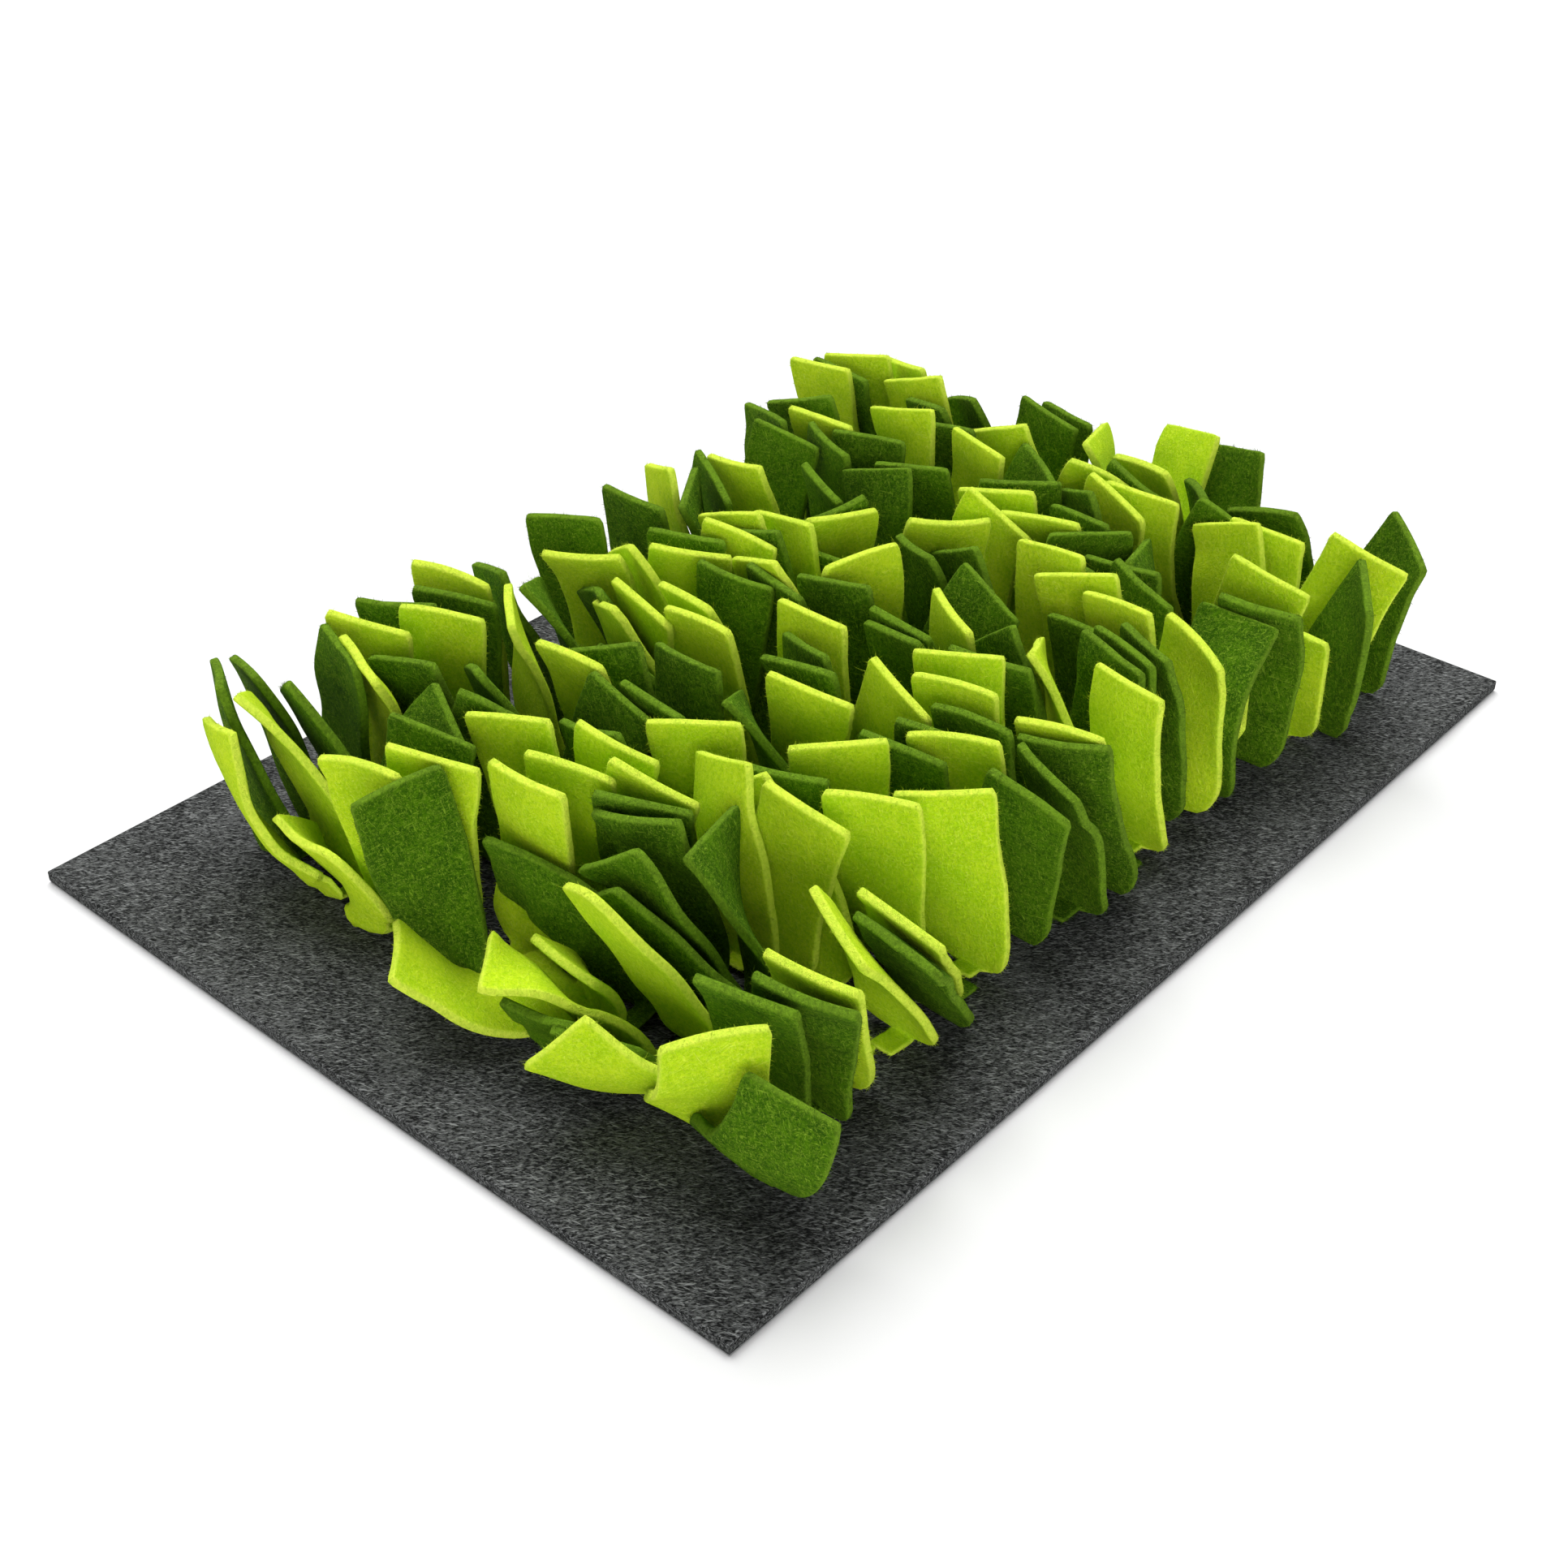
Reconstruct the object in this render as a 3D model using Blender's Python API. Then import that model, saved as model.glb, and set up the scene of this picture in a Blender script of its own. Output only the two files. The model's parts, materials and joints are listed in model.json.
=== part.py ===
"""Snuffle mat: a flat felt base with eight sewn rows of standing felt strips.

Units are metres and +Z is up. The origin is the middle of the base's underside, with X along
its long side and Y along its short side. Each row is a seam along Y. Strips of two colours lie
across the seam and their ends stand up on both sides of it. The sewn middles of one colour in
one row are one flat root band, with a narrow leg out to the foot of each end.
"""

import itertools
import math

import bpy
import numpy as np
from mathutils import Vector
from mathutils.bvhtree import BVHTree

MM = 0.001

# Base mat
MAT_LENGTH = 420
MAT_WIDTH = 300
MAT_THICK = 4.5
CORNER_RADIUS = 3
CORNER_STEPS = 4

# Rows of strips, in millimetres from the base's left and near edges
FIRST_SEAM = 65
SEAM_PITCH = 43
SEAM_COUNT = 8
PILE_NEAR = 36
PILE_FAR = 264

# Felt strips
STRIP_LENGTH = 68
STRIP_WIDTH = 30
STRIP_THICK = 3.0
GAP = 0.3
STRIP_STEPS = 5

# Roots: a thin band for each colour, the lime one over the dark one
BAND_HALF = 3.5
BAND_THICK = 1.5
ROOT_LEVEL = {"dark": GAP + BAND_THICK / 2, "lime": 2 * GAP + 1.5 * BAND_THICK}
LEG_THICK = 1.2
LEG_WIDTH = 6.8
LEG_START = 0.8
LEG_PAST = 1.1
FOOT_THICK = 1.5
FOOT_WIDTH = 7.6
SLOT = 8.6
FOOT_LIFT = 2.5
FLARE_END = 16

# Settling. Strips that would cut push each other apart, and each keeps its root and length
SPACING = 5.2
REACH = 16
NEAR = 60
ROUNDS = 120
ROUNDS_A_LOOK = 10
PUSH = 1.2
TURN_PUSH = 0.8
HOLD = 0.05
TURN_HOLD = 0.1
LISTED_HOLD = 2.0
FILLER_WEIGHT = 0.2
BEND_EASE = 0.15
TWIST_EASE = 0.1
NEAREST_FOOT = 6
FARTHEST_FOOT = 21
MOVE_SIZES = (8, 8, 4, 14)
MOVE_TRIES = 500
MOVE_SEED = 5
EASINGS = 15
LEAST_ADVANCE = 0.2
LOWEST = 6.0
ACROSS = np.array([-1, -0.5, 0, 0.5, 1])

# Strips added between the listed ones, but not where a seam's side is bare between two places
FILL_PITCH = 21
BARE = {(0, -1): (115, 158)}
FILL_SEED = 11

# Curl in degrees that any strip has of its own
OWN_CURL = 20
CURL_SEED = 4

FELTS = {
    "lime": dict(color=(0.42, 0.62, 0.03), roughness=0.95),
    "dark": dict(color=(0.05, 0.16, 0.01), roughness=0.95),
    "base": dict(color=(0.06, 0.065, 0.07), roughness=1.0),
}

# One list for each seam, one row for each standing end:
# across  along  felt  toward  lean  curl  turn  length
# across is the foot's distance from the seam and along its distance from the near edge, in mm.
# It leans by lean degrees toward a heading, 0 along +X and 90 along +Y. curl is how much more
# it leans at its tip than at its foot, turn is the heading of its tip's edge, length is in mm.
L, D = "lime", "dark"
FULL = STRIP_LENGTH
SEAMS = [
    [
        (6, 120, L, 133, 61, -28, 52, 66),
        (-6, 90, L, 122, 54, -30, 45, 54),
        (13, 104, D, 100, 61, 25, 98, FULL),
        (-8, 60, L, -129, 33, -90, 150, FULL),
        (-4, 42, D, -131, 39, -90, 95, 62),
        (-15, 161, D, -117, 12, 10, 157, FULL),
        (-4, 179, L, -118, 14, 10, 109, FULL),
        (-7, 184, L, 180, 12, 15, 105, FULL),
        (11, 151, L, -115, 7, 15, 98, FULL),
        (-14, 190, L, 95, 66, -20, 60, 45),
        (7, 52, D, -145, 22, 10, 105, FULL),
        (15, 41, D, -147, 29, 12, 106, FULL),
        (13, 70, L, 122, 33, 20, 85, FULL),
        (19, 62, L, 167, 28, 10, 101, FULL),
        (-12, 216, L, 110, 31, 15, 80, FULL),
        (-7, 226, L, 100, 27, 15, 75, FULL),
        (3, 237, D, 100, 27, 15, 75, FULL),
        (8, 221, D, 110, 29, 20, 80, FULL),
        (17, 230, L, 105, 28, 30, 85, FULL),
        (-11, 246, D, 100, 16, 20, 60, FULL),
        (-4, 58, L, 150, 60, -20, 135, 58),
        (21, 68, D, 117, 46, 20, 92, FULL),
        (-10, 165, L, -117, 11, 10, 157, FULL),
        (-20, 103, D, 180, 10, 10, 92, 28),
        (-15, 113, L, 180, 8, 10, 85, 34),
        (-13, 79, D, 170, 30, -20, 105, 34),
        (-11, 70, L, -170, 45, -60, 95, 34),
    ],
    [
        (-16, 45, L, -149, 27, 8, 101, FULL),
        (1, 44, L, -171, 27, 10, 57, FULL),
        (7, 44, D, -173, 29, 10, 54, FULL),
        (-10, 68, D, 90, 21, 20, 11, FULL),
        (12, 72, L, 92, 33, 10, 90, FULL),
        (4, 80, D, -138, 11, 12, 96, FULL),
        (10, 85, L, -118, 12, 10, 96, FULL),
        (9, 98, L, 77, 13, 20, 74, FULL),
        (-11, 122, D, -139, 15, 8, 115, FULL),
        (-7, 132, L, -115, 17, 10, 104, FULL),
        (9, 133, D, 112, 22, 10, 86, FULL),
        (9, 156, L, -122, 17, 10, 98, FULL),
        (11, 175, D, -84, 17, 10, 87, FULL),
        (9, 187, D, 81, 23, 20, 65, FULL),
        (-10, 196, D, -105, 16, 10, 113, FULL),
        (4, 237, L, -39, 6, 8, 115, FULL),
        (6, 250, D, 60, 3, 12, 120, FULL),
    ],
    [
        (-12, 46, L, -155, 35, 15, 85, FULL),
        (-17, 44, D, -155, 38, 15, 87, FULL),
        (2, 44, L, 153, 9, 6, 122, FULL),
        (-9, 65, L, -176, 7, 8, 113, FULL),
        (9, 73, D, -150, 7, 8, 99, FULL),
        (-9, 93, D, -178, 14, 20, 106, FULL),
        (9, 92, L, -178, 13, 10, 140, FULL),
        (9, 109, D, 94, 29, 30, 49, FULL),
        (9, 150, D, 121, 4, 10, 83, FULL),
        (15, 158, D, 98, 33, 10, 68, FULL),
        (15, 179, L, 85, 23, 15, 62, FULL),
        (-9, 184, L, 173, 12, 15, 90, FULL),
        (-10, 216, L, 139, 6, 25, 49, FULL),
        (15, 214, D, 93, 24, 20, 48, FULL),
        (15, 229, D, 107, 23, 10, 77, FULL),
        (-9, 252, D, -128, 13, 8, 115, FULL),
        (5, 262, L, -133, 11, 10, 115, FULL),
    ],
    [
        (-15, 46, D, -139, 19, 15, 91, FULL),
        (12, 68, D, 176, 15, 10, 94, FULL),
        (9, 83, L, 176, 3, 8, 98, FULL),
        (19, 88, L, 103, 5, 8, 113, FULL),
        (-8, 112, L, -103, 16, 8, 76, FULL),
        (-5, 118, D, 98, 17, 8, 70, FULL),
        (-14, 124, D, 158, 9, 8, 92, FULL),
        (9, 139, L, 146, 7, 8, 86, FULL),
        (-2, 167, L, 172, 13, 8, 89, FULL),
        (-9, 180, L, 156, 12, 8, 82, FULL),
        (-14, 189, D, 96, 31, 10, 68, FULL),
        (9, 196, D, -86, 12, 10, 98, FULL),
        (9, 209, L, 111, 20, 10, 76, FULL),
        (6, 222, L, -65, 18, 10, 132, FULL),
        (-9, 231, L, -174, 8, 10, 118, FULL),
        (9, 250, D, 161, 11, 12, 114, FULL),
    ],
    [
        (-18, 43, D, 180, 23, 15, 108, FULL),
        (-11, 45, L, 180, 29, 15, 104, FULL),
        (4, 44, L, -178, 9, 5, 75, FULL),
        (15, 50, D, 90, 5, 5, 70, FULL),
        (-11, 54, L, 74, 29, 10, 31, FULL),
        (-9, 74, D, 67, 27, 25, 74, FULL),
        (-15, 84, D, 173, 7, 8, 101, FULL),
        (9, 110, L, 174, 13, 8, 60, FULL),
        (-11, 118, D, 167, 15, 10, 81, FULL),
        (-7, 147, D, 143, 12, 10, 100, FULL),
        (9, 161, L, -170, 5, 8, 163, FULL),
        (-5, 185, D, 102, 16, 35, 87, FULL),
        (13, 202, L, 121, 20, 25, 98, FULL),
        (-11, 221, D, -148, 11, 10, 113, FULL),
        (11, 229, D, 121, 4, 40, 33, FULL),
        (9, 242, L, 98, 15, 30, 67, FULL),
        (-11, 248, D, -174, 5, 25, 92, FULL),
    ],
    [
        (-10, 45, L, -126, 5, 6, 75, FULL),
        (-18, 48, D, 117, 5, 8, 62, FULL),
        (8, 72, L, -60, 50, -60, 40, 52),
        (-12, 71, L, 152, 7, 8, 81, FULL),
        (-9, 118, D, 89, 24, 10, 76, FULL),
        (-7, 136, D, 132, 18, 10, 62, FULL),
        (9, 165, L, -121, 16, 10, 145, FULL),
        (-3, 191, D, -167, 17, 10, 160, FULL),
        (-12, 201, L, -122, 21, 10, 167, FULL),
        (9, 205, D, 175, 12, 20, 66, FULL),
    ],
    [
        (-10, 46, D, -152, 12, 5, 96, FULL),
        (-4, 49, L, -83, 4, 5, 98, FULL),
        (12, 42, L, -160, 10, 5, 90, 45),
        (-9, 70, D, 65, 27, 15, 20, FULL),
        (-9, 117, D, -134, 13, 10, 137, FULL),
        (9, 122, D, 89, 11, 10, 61, FULL),
        (-11, 129, L, -175, 11, 8, 104, FULL),
        (13, 132, L, -110, 17, 10, 79, FULL),
        (9, 152, D, -166, 14, 8, 132, FULL),
        (-9, 185, D, 150, 7, 8, 107, FULL),
        (5, 241, L, -176, 11, 12, 92, FULL),
        (9, 255, D, 135, 7, 15, 102, FULL),
    ],
    [
        (-9, 44, L, -118, 17, 8, 97, FULL),
        (-20, 42, D, -100, 18, 5, 39, FULL),
        (14, 41, D, -100, 15, 5, 54, FULL),
        (-11, 69, L, -152, 11, 10, 93, FULL),
        (6, 70, D, 157, 11, 15, 94, FULL),
        (15, 80, L, -72, 18, 5, 149, FULL),
        (9, 81, D, 117, 18, 15, 46, FULL),
        (11, 90, L, -168, 16, 10, 118, FULL),
        (9, 124, L, 150, 17, 10, 86, FULL),
        (14, 128, L, 2, 24, 35, 60, FULL),
        (-9, 132, D, -125, 15, 10, 86, FULL),
        (12, 136, L, 99, 21, 10, 26, FULL),
        (-11, 176, L, 126, 10, 10, 99, FULL),
        (9, 185, D, -51, 10, 5, 83, FULL),
        (-9, 194, D, 139, 11, 8, 91, FULL),
        (10, 197, D, 118, 22, 8, 74, FULL),
        (14, 203, L, 22, 30, 10, 95, FULL),
        (-9, 210, D, 111, 10, 8, 64, FULL),
        (3, 223, L, 115, 14, 8, 95, FULL),
        (14, 229, L, 98, 20, 8, 71, FULL),
        (16, 259, L, 129, 12, 8, 105, FULL),
        (8, 262, D, 158, 12, 8, 88, FULL),
        (3, 265, L, 145, 14, 8, 95, FULL),
    ],
]


def smooth(value):
    value = np.clip(value, 0.0, 1.0)
    return value * value * (3 - 2 * value)


def listed_strips():
    """Every listed end, as a dictionary, with its seam's number."""
    columns = ("across", "along", "felt", "toward", "lean", "curl", "turn", "length")
    strips = []
    for seam, rows in enumerate(SEAMS):
        for row in rows:
            strips.append(dict(zip(columns, row), seam=seam, listed=True))
    return strips


def filler_strips(listed):
    """Ends for the stretches of each seam's two sides that no listed end takes."""
    random = np.random.default_rng(FILL_SEED)
    strips = []
    for seam in range(SEAM_COUNT):
        for side in (-1, 1):
            taken = [s["along"] for s in listed if s["seam"] == seam and s["across"] * side > 0]
            bare_from, bare_to = BARE.get((seam, side), (0, 0))
            for along in np.arange(PILE_NEAR + 6, PILE_FAR, FILL_PITCH):
                values = random.uniform(-1, 1, 6)
                near = min([abs(along - other) for other in taken] + [99]) < FILL_PITCH / 2
                if near or bare_from < along < bare_to:
                    continue
                strips.append(
                    dict(
                        seam=seam,
                        across=side * (9 + values[0]),
                        along=along + 3 * values[1],
                        felt=L if values[2] > 0 else D,
                        toward=90 - 90 * side + 70 * values[3],
                        lean=14 + 10 * values[4],
                        curl=10,
                        turn=90 + 30 * values[5],
                        length=FULL,
                        listed=False,
                    )
                )
    return strips


def give_root_slots(strips):
    """Spreads the roots along each side of a seam, so that no two cross."""
    for seam in range(SEAM_COUNT):
        for side in (-1, 1):
            group = [s for s in strips if s["seam"] == seam and s["across"] * side > 0]
            group.sort(key=lambda s: s["along"])
            slots = [s["along"] for s in group]
            for _ in range(200):
                for i in range(len(slots) - 1):
                    short = SLOT - (slots[i + 1] - slots[i])
                    if short > 0:
                        slots[i] -= short / 2
                        slots[i + 1] += short / 2
            for strip, slot in zip(group, slots):
                strip["slot"] = slot


def unit(vectors):
    return vectors / np.maximum(np.linalg.norm(vectors, axis=-1, keepdims=True), 1e-9)


def square_to(edges, along):
    """Edge directions turned square to the strips' directions."""
    return unit(edges - along * np.sum(edges * along, axis=-1, keepdims=True))


def directions(lines):
    return unit(np.gradient(lines, axis=1))


def first_lines(strips):
    """Each strip's centre points and edge directions as its row gives them, before settling."""
    share = np.linspace(0, 1, STRIP_STEPS + 1)
    random = np.random.default_rng(CURL_SEED)
    lines = []
    edges = []
    for strip in strips:
        curl = strip["curl"] + OWN_CURL * random.normal()
        lean = np.radians(strip["lean"] + curl * (share - 0.5))
        middle = (lean[1:] + lean[:-1]) / 2
        step = strip["length"] / STRIP_STEPS
        out = np.concatenate([[0], np.cumsum(np.sin(middle)) * step])
        up = np.concatenate([[0], np.cumsum(np.cos(middle)) * step])
        heading = math.radians(strip["toward"])
        x = FIRST_SEAM + SEAM_PITCH * strip["seam"] + strip["across"] + out * math.cos(heading)
        y = strip["along"] + out * math.sin(heading)
        z = MAT_THICK + ROOT_LEVEL[strip["felt"]] + up + FOOT_LIFT * smooth(share * 7)
        twist = np.radians(90 + (strip["turn"] - 90) * smooth(share / 0.6))
        lines.append(np.column_stack([x, y, z]))
        edges.append(np.column_stack([np.cos(twist), np.sin(twist), 0 * twist]))
    lines = np.array(lines)
    return lines, square_to(np.array(edges), directions(lines))


def half_widths(strips):
    """Half of each strip's width at its stations: a narrow root that flares to the full width."""
    share = np.linspace(0, 1, STRIP_STEPS + 1)
    distance = np.array([strip["length"] for strip in strips])[:, None] * share
    flare = smooth(distance / FLARE_END)
    return FOOT_WIDTH / 2 + (STRIP_WIDTH - FOOT_WIDTH) / 2 * flare


def offsets(lines, edges, widths, one, other):
    """Where each point of strip one lies against each segment of strip other."""
    sides = ACROSS[None, None, :, None]
    points = lines[one][:, :, None] + edges[one][:, :, None] * widths[one][:, :, None, None] * sides
    points = points.reshape(len(one), -1, 3)
    ends = lines[other]
    along = unit(ends[:, 1:] - ends[:, :-1])
    edge = square_to(edges[other][:, 1:] + edges[other][:, :-1], along)
    face = np.cross(along, edge)
    apart = points[:, :, None] - ((ends[:, 1:] + ends[:, :-1]) / 2)[:, None]
    frame = [np.einsum("mqkc,mkc->mqk", apart, axis) for axis in (along, edge, face)]
    half = (widths[other][:, 1:] + widths[other][:, :-1]) / 2
    length = np.linalg.norm(ends[:, 1:] - ends[:, :-1], axis=-1)
    inside = np.abs(frame[0]) < length[:, None] / 2 + 1.5
    inside &= np.abs(frame[1]) < half[:, None] + 1.5
    return frame, inside, face, half, length


def neighbours(lines):
    """Every ordered pair of strips whose middles are near each other."""
    middles = lines[:, STRIP_STEPS // 2]
    apart = np.linalg.norm(middles[:, None] - middles[None], axis=-1)
    np.fill_diagonal(apart, 2 * NEAR)
    return np.nonzero(apart < NEAR)


def sides_of(lines, edges, widths, one, other):
    """Which face of strip other strip one is on, by where most of it is."""
    frame, inside, face, _, _ = offsets(lines, edges, widths, one, other)
    close = inside & (np.abs(frame[2]) < REACH)
    lean = np.sum(np.where(close, frame[2], 0), axis=(1, 2))
    middle_face = face[:, STRIP_STEPS // 2]
    between = lines[one][:, 3:].mean(axis=1) - lines[other][:, 3:].mean(axis=1)
    fallback = np.sum(between * middle_face, axis=-1)
    lean = np.where(close.any(axis=(1, 2)), lean, fallback)
    return np.where(lean >= 0, 1.0, -1.0)


def push_apart(lines, edges, widths, one, other, sides, heft):
    """One round of pushes between the pairs of strips. Returns the moves of lines and edges."""
    yields = heft[other] / (heft[one] + heft[other])
    frame, inside, face, half, length = offsets(lines, edges, widths, one, other)
    depth = SPACING - sides[:, None, None] * frame[2]
    active = inside & (depth > 0) & (depth < REACH)
    pair, point, segment = np.nonzero(active)
    push = face[pair, segment] * (sides[pair] * depth[pair, point, segment])[:, None]
    give = (1 - yields[pair])[:, None] * push
    push = yields[pair][:, None] * push
    moves = np.zeros((*lines.shape[:2], 2, 3))
    weights = np.zeros((*lines.shape[:2], 2))
    station = point // len(ACROSS)
    right = (1 + ACROSS[point % len(ACROSS)]) / 2
    for side, share in ((0, 1 - right), (1, right)):
        np.add.at(moves, (one[pair], station, side), push * share[:, None])
        np.add.at(weights, (one[pair], station, side), share)
    upper = np.clip(0.5 + frame[0][pair, point, segment] / length[pair, segment], 0, 1)
    right = np.clip(0.5 + frame[1][pair, point, segment] / half[pair, segment] / 2, 0, 1)
    for end, end_share in ((0, 1 - upper), (1, upper)):
        for side, side_share in ((0, 1 - right), (1, right)):
            share = end_share * side_share
            np.add.at(moves, (other[pair], segment + end, side), -give * share[:, None])
            np.add.at(weights, (other[pair], segment + end, side), share)
    per_side = moves / np.maximum(weights, 0.5)[..., None]
    turn = (per_side[:, :, 1] - per_side[:, :, 0]) / (2 * widths[..., None])
    return per_side.mean(axis=2), turn


def settle(strips):
    """Moves the strips until they lie beside one another, as felt pushed together does."""
    lines, edges = first_lines(strips)
    widths = half_widths(strips)
    tips, tip_edges = lines[:, -1].copy(), edges[:, -1].copy()
    seams = np.array([FIRST_SEAM + SEAM_PITCH * s["seam"] for s in strips])
    slots = np.array([s["slot"] for s in strips])
    roots = lines[:, 0].copy()
    roots[:, 1] = slots
    feet = (roots[:, 0] - seams) * np.sign(roots[:, 0] - seams)
    roots[:, 0] = seams + np.sign(roots[:, 0] - seams) * np.clip(feet, NEAREST_FOOT, FARTHEST_FOOT)
    steps = np.array([s["length"] / STRIP_STEPS for s in strips])
    share = np.linspace(0, 1, STRIP_STEPS + 1)[None, :, None]
    natural = (lines[:, :-2] + lines[:, 2:]) / 2 - lines[:, 1:-1]
    lines += (1 - smooth(share * 3)) * (roots - lines[:, 0])[:, None]
    listed = np.array([s["listed"] for s in strips])
    heft = np.where(listed, 1.0, FILLER_WEIGHT)
    firm = np.where(listed, LISTED_HOLD, 1.0)[:, None]
    for number in range(ROUNDS):
        if number % ROUNDS_A_LOOK == 0:
            one, other = neighbours(lines)
            sides = sides_of(lines, edges, widths, one, other)
        move, turn = push_apart(lines, edges, widths, one, other, sides, heft)
        lines += PUSH * move
        edges = unit(edges + TURN_PUSH * turn)
        hold = HOLD * (1 - number / ROUNDS)
        lines[:, -1] += hold * firm * (tips - lines[:, -1])
        edges[:, -1] = unit(edges[:, -1] + TURN_HOLD * firm * (tip_edges - edges[:, -1]))
        bend = (lines[:, :-2] + lines[:, 2:]) / 2 - lines[:, 1:-1] - natural
        lines[:, 1:-1] += BEND_EASE * bend
        twist = edges[:, :-2] + edges[:, 2:] - 2 * edges[:, 1:-1]
        edges[:, 1:-1] = unit(edges[:, 1:-1] + TWIST_EASE * twist)
        lowest = MAT_THICK + LOWEST + np.abs(edges[:, 1:, 2]) * widths[:, 1:]
        lines[:, 1:, 2] = np.maximum(lines[:, 1:, 2], lowest)
        feet = (lines[:, 0, 0] - seams) * np.sign(roots[:, 0] - seams)
        lines[:, 0, 0] = seams + np.sign(roots[:, 0] - seams) * np.clip(feet, NEAREST_FOOT, FARTHEST_FOOT)
        lines[:, 0, 1:] = roots[:, 1:]
        edges[:, 0] = (0, 1, 0)
        for station in range(STRIP_STEPS):
            way = unit(lines[:, station + 1] - lines[:, station])
            lines[:, station + 1] = lines[:, station] + way * steps[:, None]
        edges = square_to(edges, directions(lines))
    for strip, line, edge, width, seam in zip(strips, lines, edges, widths, seams):
        set_shape(strip, seam, line, edge, width)
        unfold(strip)


def set_shape(strip, seam, line, edge, width):
    """Gives a strip its settled stations, and a level leg from the seam to its foot."""
    foot_x, foot_y, level = line[0]
    side = math.copysign(1, foot_x - seam)
    ends = sorted((seam + side * LEG_START, foot_x + side * LEG_PAST))
    low = (ends[0], foot_y - LEG_WIDTH / 2, level - LEG_THICK / 2)
    high = (ends[1], foot_y + LEG_WIDTH / 2, level + LEG_THICK / 2)
    distance = np.linspace(0, strip["length"], STRIP_STEPS + 1)
    strip["leg"] = low, high
    strip["points"] = line.copy()
    strip["edges"] = edge.copy()
    strip["half_width"] = width.copy()
    strip["half_thick"] = (FOOT_THICK + (STRIP_THICK - FOOT_THICK) * smooth(distance / 10)) / 2


def shifted(strip, move):
    """A copy of a settled strip with its tip moved over, its root kept."""
    share = np.linspace(0, 1, STRIP_STEPS + 1)[:, None]
    points = strip["points"] + share * move[:3]
    angle = math.radians(move[3]) * share[:, 0]
    x, y, z = strip["edges"].T
    turned = (x * np.cos(angle) - y * np.sin(angle), x * np.sin(angle) + y * np.cos(angle), z)
    width = strip["half_width"].copy()
    return dict(strip, points=points, edges=np.column_stack(turned), half_width=width)


def strip_rings(strip, extra=0.0):
    """Four corners around each station of a strip's line, grown by extra on every side."""
    points = strip["points"]
    along = unit(np.gradient(points, axis=0))
    edge = square_to(strip["edges"], along)
    face = np.cross(along, edge)
    rings = []
    for sign_w, sign_t in ((-1, -1), (1, -1), (1, 1), (-1, 1)):
        corner = points + edge * (sign_w * (strip["half_width"] + extra))[:, None]
        corner = corner + face * (sign_t * (strip["half_thick"] + extra))[:, None]
        rings.append(corner)
    rings = np.stack(rings, axis=1)
    sunk = MAT_THICK + GAP - rings[:, :, 2].min(axis=1)
    rings[:, :, 2] += np.maximum(sunk, 0)[:, None]
    return rings


def unfold(strip):
    """Eases a strip where one ring would cross the next: less width low down, less turn above."""
    for _ in range(EASINGS):
        rings = strip_rings(strip)
        steps = np.diff(strip["points"], axis=0)
        length = np.linalg.norm(steps, axis=1)
        advance = np.einsum("kqc,kc->kq", np.diff(rings, axis=0), unit(steps)).min(axis=1)
        folded = np.nonzero(advance < LEAST_ADVANCE * length)[0]
        if not len(folded):
            return
        for station in folded:
            if station <= 1:
                strip["half_width"][station + 1] *= 0.88
            else:
                both = strip["edges"][station : station + 2]
                both += 0.3 * (both.mean(axis=0) - both)


def ring_faces(count):
    """Faces of a closed four-sided tube. Both broad sides are split along the same diagonal."""
    faces = [(3, 2, 1, 0)]
    for ring in range(count - 1):
        a, b = ring * 4, ring * 4 + 4
        faces += [(a, a + 1, b + 1), (a, b + 1, b)]
        faces.append((a + 1, a + 2, b + 2, b + 1))
        faces += [(a + 2, a + 3, b + 2), (a + 3, b + 3, b + 2)]
        faces.append((a + 3, a, b, b + 3))
    last = 4 * (count - 1)
    faces.append((last, last + 1, last + 2, last + 3))
    return faces


def box_corners(low, high):
    plan = ((low[0], low[1]), (high[0], low[1]), (high[0], high[1]), (low[0], high[1]))
    return [(x, y, z) for z in (low[2], high[2]) for x, y in plan]


def box_tree(low, high):
    corners = [Vector(corner) for corner in box_corners(low, high)]
    return BVHTree.FromPolygons(corners, ring_faces(2))


def tree_of(rings, leg):
    """Search tree of a strip's tube, and of its leg if one is given."""
    corners = [Vector(corner) for corner in rings.reshape(-1, 3)]
    faces = ring_faces(len(rings))
    if leg:
        faces += [tuple(i + len(corners) for i in face) for face in ring_faces(2)]
        corners += [Vector(corner) for corner in box_corners(*leg)]
    return BVHTree.FromPolygons(corners, faces)


def band_ends(strips, seam, felt):
    slots = [s["slot"] for s in strips if s["seam"] == seam and s["felt"] == felt]
    return min(slots) - LEG_WIDTH, max(slots) + LEG_WIDTH


def band_box(strips, seam, felt):
    near, far = band_ends(strips, seam, felt)
    middle = FIRST_SEAM + SEAM_PITCH * seam
    level = MAT_THICK + ROOT_LEVEL[felt]
    low = (middle - BAND_HALF, near, level - BAND_THICK / 2)
    high = (middle + BAND_HALF, far, level + BAND_THICK / 2)
    return low, high


def meet(one, other):
    """True if two strips come within the gap of each other above their shared root."""
    if np.any(one["low"] > other["high"]) or np.any(one["high"] < other["low"]):
        return False
    if (one["seam"], one["felt"]) == (other["seam"], other["felt"]):
        return bool(one["above"].overlap(other["above"]))
    return bool(one["whole"].overlap(other["whole"]))


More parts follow.
